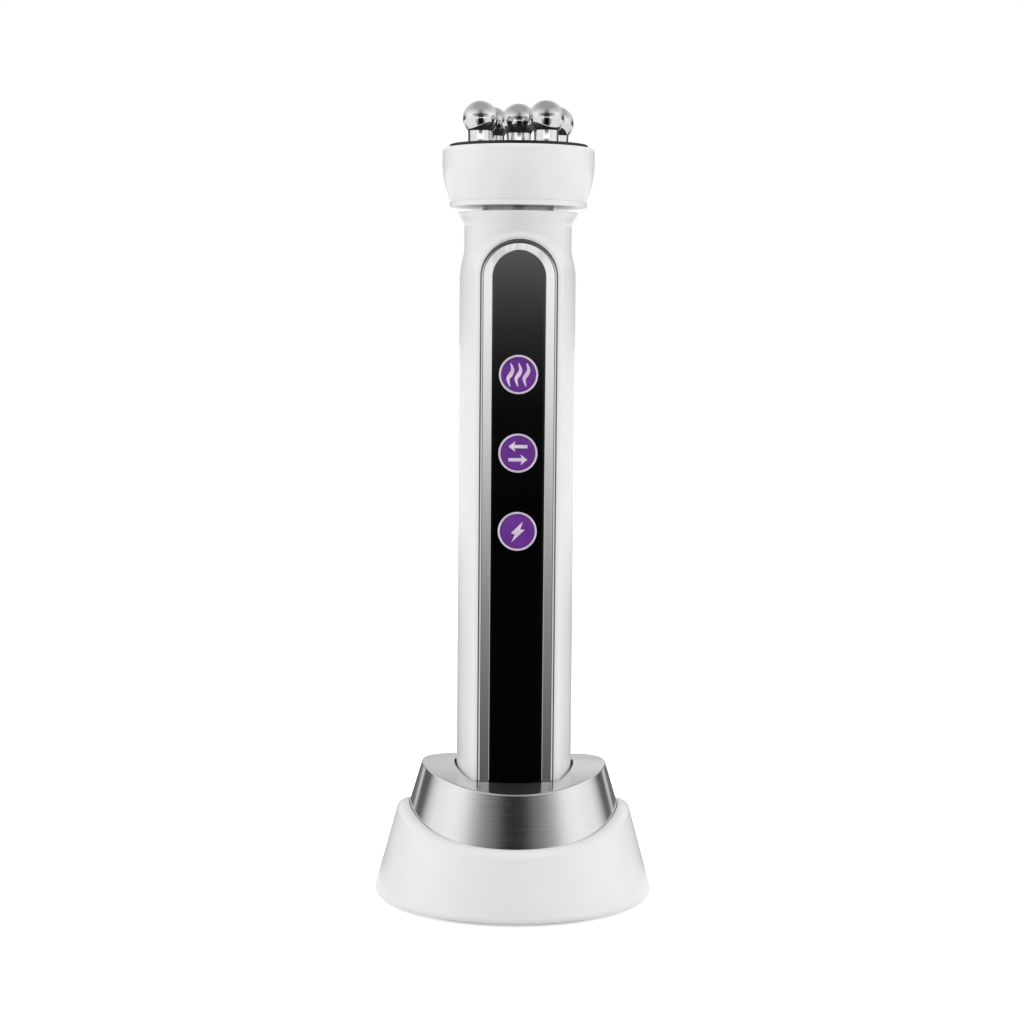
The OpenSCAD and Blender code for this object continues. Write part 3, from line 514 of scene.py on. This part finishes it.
class Nodes:
    """Short ways to add nodes to a tree. A value is a number, a colour or another node's socket."""

    def __init__(self, tree):
        self.tree = tree

    def node(self, kind, **inputs):
        node = self.tree.nodes.new(kind)
        for key, value in inputs.items():
            self.plug(node.inputs[key], value)
        return node

    def plug(self, socket, value):
        if hasattr(value, "links"):
            self.tree.links.new(value, socket)
        else:
            socket.default_value = value

    def math(self, how, *values):
        node = self.tree.nodes.new("ShaderNodeMath")
        node.operation = how
        for socket, value in zip(node.inputs, values):
            self.plug(socket, value)
        return node.outputs["Value"]

    def ramp(self, factor, stops):
        node = self.node("ShaderNodeValToRGB", Fac=factor)
        bar = node.color_ramp.elements
        while len(bar) < len(stops):
            bar.new(0.5)
        for point, (position, colour) in zip(bar, stops):
            point.position = position
            point.color = colour
        return node.outputs["Color"]

    def levels(self, factor, stops):
        """A ramp of greys."""
        return self.ramp(factor, [(position, grey(level)) for position, level in stops])

    def blend(self, factor, a, b):
        """Colour a where the factor is 0, and b where it is 1."""
        node = self.node("ShaderNodeMix")
        node.data_type = "RGBA"
        self.plug(node.inputs["Factor"], factor)
        self.plug(node.inputs["A"], a)
        self.plug(node.inputs["B"], b)
        return node.outputs["Result"]


class Shader(Nodes):
    """A node material with one Principled shader."""

    def __init__(self, name, **sockets):
        self.mat = bpy.data.materials.new(name)
        self.mat.use_nodes = True
        super().__init__(self.mat.node_tree)
        self.bsdf = self.tree.nodes["Principled BSDF"]
        for key, value in sockets.items():
            self.bsdf.inputs[key.replace("_", " ")].default_value = value
        coords = self.tree.nodes.new("ShaderNodeTexCoord")
        self.place = coords.outputs["Object"]

    def stretch(self, x, y, z):
        """The object's coordinates, stretched along the axes."""
        node = self.node("ShaderNodeMapping", Vector=self.place)
        node.inputs["Scale"].default_value = (x, y, z)
        return node.outputs["Vector"]

    def noise(self, scale, detail=2.0, vector=None, rough=0.5):
        node = self.node("ShaderNodeTexNoise", Vector=vector or self.place, Scale=scale, Detail=detail,
                         Roughness=rough)
        return node.outputs["Fac"]

    def span(self, factor, low, high, start=0.3, end=0.7):
        """A factor from start to end, spread out from low to high."""
        node = self.node("ShaderNodeMapRange", Value=factor)
        for key, value in (("From Min", start), ("From Max", end), ("To Min", low), ("To Max", high)):
            node.inputs[key].default_value = value
        return node.outputs["Result"]

    def bump(self, height, strength, distance):
        node = self.node("ShaderNodeBump", Height=height, Strength=strength, Distance=distance)
        self.plug(self.bsdf.inputs["Normal"], node.outputs["Normal"])

    def finish(self, low, high, scale, rough, spread, fine, strength, distance=0.00002):
        """Colour between low and high in clouds, uneven gloss, and a fine grain in the surface."""
        cloud = self.noise(scale)
        self.plug(self.bsdf.inputs["Base Color"],
                  self.ramp(cloud, [(0.35, linear(low)), (0.65, linear(high))]))
        self.plug(self.bsdf.inputs["Roughness"],
                  self.span(self.noise(scale * 3), rough - spread, rough + spread, 0.1, 0.9))
        self.bump(self.noise(fine, 3), strength, distance)
        return self


def brushed(name, low, high, rough, vector_scale, strength, **sockets):
    """Metal with fine lines, drawn out by stretching the grain."""
    s = Shader(name, Metallic=1.0, **sockets)
    grain = s.noise(1.0, 4, s.stretch(*vector_scale), 0.6)
    s.plug(s.bsdf.inputs["Base Color"], s.ramp(grain, [(0.3, linear(low)), (0.7, linear(high))]))
    s.plug(s.bsdf.inputs["Roughness"], s.span(grain, rough - 0.03, rough + 0.05))
    s.bump(grain, strength, 0.000015)
    return s


# Outer pieces. finish takes two colours, the clouds' scale, roughness and its spread, and the grain's scale and
# strength
white = Shader("white gloss plastic", IOR=1.49).finish("#e6e6e8", "#e9e9ea", 60, 0.20, 0.02, 900, 0.05)
# The head's white is the wand's plastic painted a touch lighter, as painted light on the head
white_head = Shader("white head plastic", IOR=1.49).finish("#e8e8ea", "#ebebec", 70, 0.20, 0.02, 1100, 0.05)
white_stand = Shader("white stand plastic", IOR=1.49).finish("#e6e6e8", "#e9e9ea", 40, 0.22, 0.02, 1300, 0.06)
gloss_black = Shader("black glossy panel", IOR=1.49, Specular_IOR_Level=1.0)
gloss_black.finish("#020202", "#040404", 90, 0.05, 0.015, 500, 0.02)
seal_black = Shader("black seal").finish("#08080a", "#0f0f11", 200, 0.35, 0.03, 2200, 0.10)
plate_black = Shader("black head plate").finish("#060607", "#0a0a0b", 120, 0.12, 0.02, 1500, 0.02)
# Painted shade: a dark grey that stands in for the shadow in the frame's grooves, step and walls
groove_shade_paint = Shader("painted shade in frame grooves").finish("#4c4c4e", "#58585a", 200, 0.5, 0.05, 2000, 0.1)
ring_lilac = Shader("pale lilac ring").finish("#cdbcd3", "#dccfe2", 300, 0.35, 0.04, 2500, 0.08)
sign_lilac = Shader("pale lilac sign").finish("#d3c2da", "#e0d3e6", 300, 0.4, 0.04, 2500, 0.08)
cap_purple = Shader("purple button cap", IOR=1.48).finish("#63248a", "#6c2c93", 260, 0.30, 0.05, 2200, 0.10)
hub_dark = Shader("dark hub metal", Metallic=1.0).finish("#8a8a8e", "#98989c", 120, 0.24, 0.03, 1500, 0.05)
chrome = Shader("polished ball", Metallic=1.0).finish("#dedee0", "#e8e8ea", 150, 0.055, 0.012, 500, 0.02)

satin = brushed("satin trim", "#dadadc", "#e0e0e2", 0.09, (900, 900, 60), 0.02)
edge_bright = brushed("bright trim edge", "#c9c9cb", "#d2d2d4", 0.12, (600, 600, 60), 0.02)
steel = brushed("brushed collar steel", "#dedede", "#e4e4e4", 0.13, (90, 90, 5200), 0.02)

# Inner pieces by their slot: the material's name, its own sockets, and what finish takes
METAL = {"Metallic": 1.0}
INSIDE = {
    "white_plastic": ("white plastic inside", {}, "#e4e4e6", "#eeeeef", 60, 0.35, 0.05, 1500, 0.12),
    "black_plastic": ("black plastic", {}, "#1b1b1d", "#262628", 80, 0.42, 0.06, 1800, 0.2),
    "grey_plastic": ("grey plastic", {}, "#77797c", "#86888b", 90, 0.45, 0.06, 1700, 0.2),
    "green_board": ("board green", {}, "#0d4a2a", "#156138", 220, 0.35, 0.08, 1400, 0.15),
    "socket_steel": ("socket steel", METAL, "#a4a6a8", "#bcbec0", 300, 0.28, 0.05, 2500, 0.08),
    "ballast_iron": ("cast iron", {"Metallic": 0.7}, "#3b3b3d", "#565658", 400, 0.62, 0.08, 900, 0.6),
    "foot_rubber": ("foot rubber", {}, "#232324", "#303031", 300, 0.75, 0.08, 3000, 0.5),
    "screw_steel": ("screw steel", METAL, "#8f9194", "#a9abad", 500, 0.32, 0.06, 3500, 0.1),
    "gold_plate": ("gold plate", METAL, "#c79a3c", "#dcb558", 400, 0.20, 0.05, 2500, 0.06),
    "felt": ("felt", {"Sheen_Weight": 0.4}, "#2b2b2d", "#454548", 900, 0.9, 0.05, 5000, 0.9),
    "battery_sleeve": ("battery sleeve", {}, "#1c4f8f", "#2461a8", 70, 0.30, 0.05, 900, 0.1),
    "motor_steel": ("motor steel", METAL, "#8d8f92", "#a3a5a8", 140, 0.33, 0.06, 1800, 0.12),
    "magnet": ("magnet", {}, "#333336", "#454549", 350, 0.6, 0.06, 2400, 0.4),
    "copper": ("copper wire", METAL, "#a8561f", "#c9743a", 900, 0.30, 0.07, 6000, 0.5),
    "gear_brass": ("gear brass", METAL, "#a9883f", "#c3a155", 260, 0.30, 0.06, 2600, 0.1),
    "heater_film": ("heater film", {}, "#8c5a1e", "#a97230", 240, 0.40, 0.06, 2200, 0.15),
    "wire_sleeve": ("wire sleeve", {}, "#8e1410", "#a81c16", 300, 0.38, 0.05, 3000, 0.1),
}
inside_finish = {
    slot: Shader(name, **sockets).finish(*look) for slot, (name, sockets, *look) in INSIDE.items()
}


def paint(obj, *shaders):
    obj.data.materials.clear()
    for shader in shaders:
        obj.data.materials.append(shader.mat)


def place(obj, body, slot, shader, *stands_for):
    """Give a piece its material, its body, and the CAD nodes that it stands for."""
    if shader:
        paint(obj, shader)
    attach(obj, body)
    if stands_for:
        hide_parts(*stands_for)
    return obj


# ---------------------------------------------------------------- the stand
# The power socket's opening: its size, its height, and how far the block that cuts it runs
SOCKET_W, SOCKET_H, SOCKET_Z = 9.18, 3.40, 7.68
SOCKET_FRONT, SOCKET_BACK = 24, 42


def slot_block(name, w, h, y0, y1, z):
    """A block with round ends, running back to front, that cuts the power socket's opening."""
    outline = []
    r = h / 2
    for side, start in ((1, -90), (-1, 90)):
        for i in range(17):
            a = math.radians(start + 180 * i / 16)
            outline.append((side * (w / 2 - r) + r * math.cos(a), z + r * math.sin(a)))
    n = len(outline)
    verts = [(x, y0, v) for x, v in outline] + [(x, y1, v) for x, v in outline]
    faces = [tuple(range(n)), tuple(range(2 * n - 1, n - 1, -1))]
    faces += [(i, n + i, n + (i + 1) % n, (i + 1) % n) for i in range(n)]
    return mesh_object(name, verts, faces)


shell = sweep("stand_housing", stand_profile)
cut_away(shell, slot_block("cutter", SOCKET_W, SOCKET_H, SOCKET_FRONT, SOCKET_BACK, SOCKET_Z))
place(shell, "stand", "white_plastic", white_stand, "stand_shell")

collar = sweep("stand_metal_collar", collar_profile)
place(collar, "stand", "collar_steel", steel, "stand_collar")

# ---------------------------------------------------------------- the wand
front = wand_shell("wand_front_half", -math.pi)
place(front, "wand", "white_plastic", white, "front_shell")
rear = wand_shell("wand_rear_half", 0.0)
place(rear, "wand", "white_plastic", white, "rear_shell")

# The neck's lip, from its bore out and up to its rounded top, as (radius, z)
lip = [(9.2, NECK_TOP), (NECK_R, NECK_TOP), (13.36, 168.35), (13.45, 168.7), (13.68, 169.2), (14.0, 169.7)]
lip += [(14.35, 170.2), (14.6, 170.7), (14.74, 171.05)]
lip += arc(14.68, 171.33, 0.22, -8, 90, 8) + [(9.2, 171.55)]
place(revolve("neck_lip", lip), "wand", "white_plastic", white, "neck_ring")

place(trim_ring("strip_frame"), "wand", "trim_chrome", None, "trim_frame")
place(panel_plate("strip_panel"), "wand", "black_gloss", gloss_black, "control_panel")

# ---------------------------------------------------------------- the buttons
# Sections of a ring and a button, as (radius, depth in front of the wand's axis)
ring_profile = [(4.26, 16.0), (4.26, 17.22), (4.33, 17.30), (4.60, 17.30), (4.74, 17.20), (4.745, 16.0)]
cap_profile = [(0, 15.0), (4.1, 15.0), (4.15, 15.1), (4.15, 16.95)]
cap_profile += arc(3.95, 17.0, 0.2, 0, 80, 5) + [(3.0, 17.235), (1.5, 17.246), (0, CAP_FRONT)]
ring_bodies = [facing("ring_%d" % k, ring_profile, z) for k, z in enumerate(BUTTON_Z)]
bpy.ops.object.select_all(action="DESELECT")
for obj in ring_bodies:
    obj.select_set(True)
bpy.context.view_layer.objects.active = ring_bodies[0]
bpy.ops.object.join()
rings = bpy.context.view_layer.objects.active
rings.name = "lilac_rings"
place(rings, "wand", "lilac", ring_lilac, "button_rings")


def smooth_line(points, steps):
    """Points along a smooth curve through the given ones."""
    out = []
    ends = [points[0]] + list(points) + [points[-1]]
    for i in range(len(points) - 1):
        p0, p1, p2, p3 = ends[i:i + 4]
        for j in range(steps):
            t = j / steps
            out.append(tuple(
                0.5 * (2 * b + (c - a) * t + (2 * a - 5 * b + 4 * c - d) * t * t
                       + (3 * b - a - 3 * c + d) * t ** 3)
                for a, b, c, d in zip(p0, p1, p2, p3)))
    out.append(points[-1])
    return out


# The signs, as (x, y) from the button's centre
WAVE_GAP = 1.95
wave_line = smooth_line([(0.0, 2.8), (0.5, 1.15), (0.05, 0.0), (-0.6, -1.1), (-0.1, -2.95)], 8)
wave_end = len(wave_line) - 1
wave_width = [0.06 + 0.94 * math.sin(math.pi * i / wave_end) ** 0.8 for i in range(wave_end + 1)]
arrow = [(2.3, 2.0), (-0.9, 2.0), (-0.65, 2.9), (-2.3, 1.6), (-0.65, 0.3), (-0.9, 1.2), (2.3, 1.2)]
bolt = [(1.37, 2.4), (0.7, 0.45), (1.84, 0.43), (-1.4, -2.68), (-0.6, -0.75), (-1.57, -0.47)]
signs = {
    "heat": [ribbon([(x + dx, y) for x, y in wave_line], wave_width) for dx in (-WAVE_GAP, 0, WAVE_GAP)],
    "direction": [arrow, [(-x, -y) for x, y in arrow]],
    "power": [bolt],
}
for name, z in zip(("power", "direction", "heat"), BUTTON_Z):
    cap = facing(name + "_cap", cap_profile, z)
    place(cap, name + "_button", "purple", cap_purple, name + "_button")
    for i, outline in enumerate(signs[name]):
        mark = raised("%s_sign_%d" % (name, i), outline, z)
        place(mark, name + "_button", "lilac", sign_lilac)

# ---------------------------------------------------------------- the head
# Heights of the seam, the rim and the plate, then the arc of the barrel and its wall
SEAM, HEAD_TOP, PLATE_TOP = 174.05, 187.3, 188.1
HEAD_R, ARC_R, ARC_Z, HEAD_WALL = 18.85, 26.0, 184.3, 1.7
# The balls: their radius, height and distance from the axis, and the collar and stem under each
BALL_R, BALL_Z, BALL_RING_R = 4.3, 194.0, 11.5
BALL_COLLAR_R, BALL_STEM_R, BALL_FLANGE_R = 3.0, 1.25, 2.6
# Each ball's turn round the axis in degrees
BALLS = {"centre_ball": None, "back_right_ball": 34, "back_left_ball": 124, "front_left_ball": 214,
         "front_right_ball": 304}


def ball_at(turn):
    """Where a ball's stem stands, in plan."""
    if turn is None:
        return (0.0, 0.0)
    return (BALL_RING_R * math.cos(math.radians(turn)), BALL_RING_R * math.sin(math.radians(turn)))


def head_x(z, o=0.0):
    """Radius of the head's barrel at a height, o inside its outer face."""
    return HEAD_R - o - ARC_R + math.sqrt(ARC_R ** 2 - (z - ARC_Z) ** 2)


barrel_low = SEAM + 0.1
barrel_rows = [barrel_low + (HEAD_TOP - 1 - barrel_low) * i / 24 for i in range(24)]
outside = [(15.1, SEAM), (head_x(SEAM), SEAM)] + [(head_x(z), z) for z in barrel_rows]
outside += arc(head_x(HEAD_TOP - 1) - 1, HEAD_TOP - 1, 1, 4, 90, 10)
outside += [(17.35, HEAD_TOP), (17.2, HEAD_TOP - 0.06), (17.15, HEAD_TOP - 0.2), (17.15, 186.6)]
outside += [(16.2, 186.6)] + [(head_x(z, HEAD_WALL), z) for z in (185.0, 181.0, 177.0)]
place(revolve("head_cup", outside), "head", "white_plastic", white_head, "head_shell")

base = [(8.92, 172.8), (16.86, 172.8)] + arc(16.88, 172.92, 0.12, -80, 0, 4)
base += [(17.0, 173.8)] + arc(16.8, 173.85, 0.2, 0, 90, 6)
base += [(15.0, SEAM - 0.01), (15.0, 176.6), (13.65, 176.6), (13.4, 176.8), (8.92, 176.8)]
place(revolve("head_floor", base), "head", "white_plastic", white_head, "head_base")

meet = math.degrees(math.acos(BALL_COLLAR_R / BALL_R))
ball_profile = [(0, 182.2), (BALL_STEM_R, 182.2), (BALL_STEM_R, 186.0), (BALL_FLANGE_R, 186.0)]
ball_profile += [(BALL_FLANGE_R, 186.6), (BALL_STEM_R, 186.6), (BALL_STEM_R, PLATE_TOP)]
ball_profile += [(2.93, PLATE_TOP), (BALL_COLLAR_R, PLATE_TOP + 0.08), (BALL_COLLAR_R, 190.0)]
ball_profile += arc(0, BALL_Z, BALL_R, -meet + 1, 90, 64)[:-1] + [(0, BALL_Z + BALL_R)]
for name, turn in BALLS.items():
    ball = revolve(name + "_polished", ball_profile, 128, ball_at(turn), 32)
    place(ball, "head", "ball_chrome", chrome, name)

# ---------------------------------------------------------------- every CAD node that stays in view
OWN_FINISH = {"head_hub": hub_dark, "head_plate": plate_black, "plate_seals": seal_black}
slot_of = {row["node"]: row["material_slot"] for row in frame["record"]["subparts"]}
for name, obj in nodes.items():
    if name in OWN_FINISH:
        paint(obj, OWN_FINISH[name])
    elif slot_of[name] in inside_finish:
        paint(obj, inside_finish[slot_of[name]])

# ---------------------------------------------------------------- what polished pieces mirror
# The front strip mirrors what lies near one line, which is turned this far from straight ahead, in radians
LINE_TURN = 0.022
# Levels of the floor by distance in metres: in the wedge round that line, and beside it
TONES_AHEAD = [(0.0, 0.006), (1.27, 0.006), (3.6, 0.035), (8.0, 0.14), (12.0, 0.19)]
TONES_ASIDE = [(0.0, 0.08), (0.18, 0.13), (0.3, 0.19), (0.61, 0.31), (1.27, 0.55), (3.6, 0.94), (12.0, 1.05)]
# Turns in degrees where the wedge ends, where the front ends, and where the rear begins
WEDGE_END = [(16.5, 0.0), (17.4, 1.0)]
FRONT_END = [(27, 0.0), (36, 1.0)]
REAR_START = [(118, 0.0), (132, 1.0)]
# Shares of the floor's reach in which the rear is dark, and its level there
NEAR_END = [(0.35, 1.0), (0.55, 0.0)]
NEAR_REAR_TONE, SIDE_TONE = 0.16, 0.92
# What the camera sees of the floor: its colour, and what is added to it
FLOOR_GREY, FLOOR_LIFT = 0.86, 0.62
# Levels of the room by turn from the front, 0 to 180 degrees: at middle height, near the top, and low down
ROOM = [(0, 0.025), (8, 0.035), (14, 0.07), (19, 0.13), (28, 0.22), (38, 0.36), (46, 0.55), (55, 0.84),
        (63, 1.02), (75, 1.1), (89, 1.05), (98, 0.95), (116, 0.8), (140, 0.7), (180, 0.8)]
ROOM_HIGH = [(0, 0.14), (8, 0.2), (16, 0.42), (28, 0.8), (58, 1.0), (93, 0.82), (116, 0.75), (180, 0.7)]
ROOM_LOW = [(0, 0.03), (13, 0.04), (19, 0.5), (32, 0.9), (60, 1.0), (100, 1.0), (112, 0.6),
            (122, 0.12), (138, 0.06), (150, 0.08), (166, 0.3), (180, 0.7)]
# Heights, as the sine of the angle above the horizon, where low gives way to middle, middle to high, and high
# to the plain ceiling
LOW_END = [(0.10, 0.0), (0.28, 1.0)]
HIGH_START = [(0.40, 0.0), (0.54, 1.0)]
CEILING_START = [(0.50, 0.0), (0.89, 1.0)]
CEILING_TONE = 0.42
# Straight behind, the left part of the wall keeps a share of its own level and takes the rest from this tone
BEHIND_START = [(150, 0.0), (172, 1.0)]
BEHIND_TONE = 0.36
LEFT_TO_RIGHT = [(0.47, 0.62), (0.53, 1.0)]
# Levels by height in the band that the front strip mirrors: in the wedge round the line, and beside it
BAND_AHEAD = [(-0.02, 0.19), (-0.0087, 0.21), (0.0, 0.33), (0.0087, 0.49), (0.0175, 0.75), (0.026, 1.0),
              (0.031, 1.05), (0.034, 1.5), (0.05, 1.6)]
BAND_ASIDE = [(-0.02, 1.05), (0.0, 1.12), (0.0087, 1.2), (0.05, 1.3)]
BAND_WEDGE_END = [(15.8, 0.0), (17.8, 1.0)]
BAND_TOP = [(0.055, 1.0), (0.064, 0.0)]
BAND_SIDE_END = [(30, 1.0), (38, 0.0)]
# Light on everything that isn't polished, by share of half a turn from the front
SOFT_LIGHT = [(0.0, 0.66), (0.2, 0.74), (0.42, 1.0), (0.62, 0.9), (1.0, 0.78)]
# A ramp takes no factor below 0, so heights are lifted by this before they reach one
LIFT_HEIGHT = 0.1


def ray_kinds(s):
    """Whether the camera looks straight at this, and whether a polished or clear piece does."""
    path = s.tree.nodes.new("ShaderNodeLightPath")
    return path.outputs["Is Camera Ray"], s.math(
        "MAXIMUM", path.outputs["Is Glossy Ray"], path.outputs["Is Transmission Ray"])


def turns_from_front(s, side, depth):
    """Turn from the front, and turn from the strip's line, both as shares of half a turn."""
    front = s.math("MULTIPLY", depth, -1.0)
    bearing = s.math("DIVIDE", s.math("ARCTAN2", s.math("ABSOLUTE", side), front), math.pi)
    off_line = s.math("ABSOLUTE", s.math("SUBTRACT", s.math("ARCTAN2", side, front), LINE_TURN))
    return bearing, s.math("DIVIDE", off_line, math.pi)


def by_turn(s, turn, stops):
    """Levels at turns given in degrees."""
    return s.levels(turn, [(a / 180, level) for a, level in stops])


# ---------------------------------------------------------------- the floor
bpy.ops.mesh.primitive_plane_add(size=24, location=(0, 0, 0))
floor = bpy.context.object
floor.name = "floor"
ground = Shader("floor", Roughness=0.9, Specular_IOR_Level=0.0)
xyz = ground.node("ShaderNodeSeparateXYZ", Vector=ground.place)
x, y = xyz.outputs["X"], xyz.outputs["Y"]
reach = ground.math("SQRT", ground.math("ADD", ground.math("MULTIPLY", x, x), ground.math("MULTIPLY", y, y)))
far = ground.math("DIVIDE", reach, ground.math("ADD", reach, 1.0))
bearing, off_line = turns_from_front(ground, x, y)


def by_reach(stops):
    """Levels at distances given in metres."""
    return ground.levels(far, [(r / (r + 1), level) for r, level in stops])


tone = ground.blend(by_turn(ground, off_line, WEDGE_END), by_reach(TONES_AHEAD), by_reach(TONES_ASIDE))
tone = ground.blend(by_turn(ground, bearing, FRONT_END), tone, grey(SIDE_TONE))
near_rear = ground.math("MULTIPLY", ground.levels(far, NEAR_END), by_turn(ground, bearing, REAR_START))
tone = ground.blend(near_rear, tone, grey(NEAR_REAR_TONE))
is_camera, is_mirror = ray_kinds(ground)
ground.bsdf.inputs["Base Color"].default_value = grey(FLOOR_GREY)
lift = ground.node("ShaderNodeEmission", Color=grey(1.0))
ground.plug(lift.inputs["Strength"], ground.math("MULTIPLY", is_camera, FLOOR_LIFT))
shown = ground.node("ShaderNodeEmission", Color=tone, Strength=1.0)
both = ground.tree.nodes.new("ShaderNodeAddShader")
pick = ground.tree.nodes.new("ShaderNodeMixShader")
ground.plug(both.inputs[0], ground.bsdf.outputs["BSDF"])
ground.plug(both.inputs[1], lift.outputs["Emission"])
ground.plug(pick.inputs["Fac"], is_mirror)
ground.plug(pick.inputs[1], both.outputs["Shader"])
ground.plug(pick.inputs[2], shown.outputs["Emission"])
ground.plug(ground.tree.nodes["Material Output"].inputs["Surface"], pick.outputs["Shader"])
paint(floor, ground)

# ---------------------------------------------------------------- the room
world = bpy.data.worlds.new("room")
bpy.context.scene.world = world
world.use_nodes = True
room = Nodes(world.node_tree)
back = room.tree.nodes["Background"]
coords = room.tree.nodes.new("ShaderNodeTexCoord")
parts = room.node("ShaderNodeSeparateXYZ", Vector=coords.outputs["Generated"])
side, depth, up = parts.outputs["X"], parts.outputs["Y"], parts.outputs["Z"]
bearing, off_line = turns_from_front(room, side, depth)
lifted = room.math("ADD", up, LIFT_HEIGHT)


def by_height(stops):
    """Levels at heights given as the sine of the angle above the horizon."""
    return room.levels(lifted, [(height + LIFT_HEIGHT, level) for height, level in stops])


walls = room.blend(by_height(LOW_END), by_turn(room, bearing, ROOM_LOW), by_turn(room, bearing, ROOM))
walls = room.blend(by_height(HIGH_START), walls, by_turn(room, bearing, ROOM_HIGH))
left_to_right = room.levels(room.math("ADD", side, 0.5), LEFT_TO_RIGHT)
wall_behind = room.blend(left_to_right, grey(BEHIND_TONE), walls)
walls = room.blend(by_turn(room, bearing, BEHIND_START), walls, wall_behind)
band = room.blend(by_turn(room, off_line, BAND_WEDGE_END), by_height(BAND_AHEAD), by_height(BAND_ASIDE))
in_band = room.math("MULTIPLY", by_height(BAND_TOP), by_turn(room, bearing, BAND_SIDE_END))
mirrored = room.blend(in_band, walls, band)
mirrored = room.blend(by_height(CEILING_START), mirrored, grey(CEILING_TONE))
is_camera, is_mirror = ray_kinds(room)
level = room.blend(is_mirror, room.levels(bearing, SOFT_LIGHT), mirrored)
level = room.blend(is_camera, level, grey(1.0))
room.plug(back.inputs["Color"], level)
back.inputs["Strength"].default_value = 1.0

# Places and sizes in metres, power in watts
LAMPS = {
    "lamp_left": ((-1.1, -0.25, 0.45), (0, 0, 0.09), (0.7, 1.0), 3.0),
    "lamp_right": ((1.1, -0.25, 0.45), (0, 0, 0.09), (0.7, 1.0), 3.0),
    "lamp_top": ((0, -0.1, 1.3), (0, 0, 0.1), (0.8, 0.8), 2.0),
}


def lamp(name, place_at, target, size, power):
    """A soft lamp that no polished piece and no camera sees."""
    data = bpy.data.lights.new(name, "AREA")
    data.shape = "RECTANGLE"
    data.size, data.size_y = size
    data.energy = power
    obj = bpy.data.objects.new(name, data)
    bpy.context.scene.collection.objects.link(obj)
    obj.location = place_at
    aim = Vector(target) - Vector(place_at)
    obj.rotation_euler = aim.to_track_quat("-Z", "Y").to_euler()
    obj.visible_glossy = False
    obj.visible_camera = False


for name, settings in LAMPS.items():
    lamp(name, *settings)

# ---------------------------------------------------------------- the camera
# Fitted to the photograph: lens and sensor in mm, the eye's place in mm, and small turns from the wand's axis
FOCAL, SENSOR = 80.5, 36.0
EYE = Vector((-13.98, -571.8, 145.1)) * MM
YAW, PITCH, ROLL = math.radians(0.0925), math.radians(-4.8), math.radians(0.47)
heading = math.atan2(-EYE.y, -EYE.x) + YAW
ahead = Vector((math.cos(PITCH) * math.cos(heading), math.cos(PITCH) * math.sin(heading), math.sin(PITCH)))
right = ahead.cross(Vector((0, 0, 1))).normalized()
above_it = right.cross(ahead)
turned_up = above_it * math.cos(ROLL) - right * math.sin(ROLL)
turned_right = right * math.cos(ROLL) + above_it * math.sin(ROLL)
camera_data = bpy.data.cameras.new("camera")
camera_data.lens = FOCAL
camera_data.sensor_width = SENSOR
camera_data.clip_start = 0.01
camera_data.clip_end = 100
camera = bpy.data.objects.new("camera", camera_data)
bpy.context.scene.collection.objects.link(camera)
pose = Matrix((turned_right, turned_up, -ahead)).transposed().to_4x4()
pose.translation = EYE
camera.matrix_world = pose
bpy.context.scene.camera = camera
bpy.context.scene.view_settings.view_transform = "Standard"

bpy.context.view_layer.update()
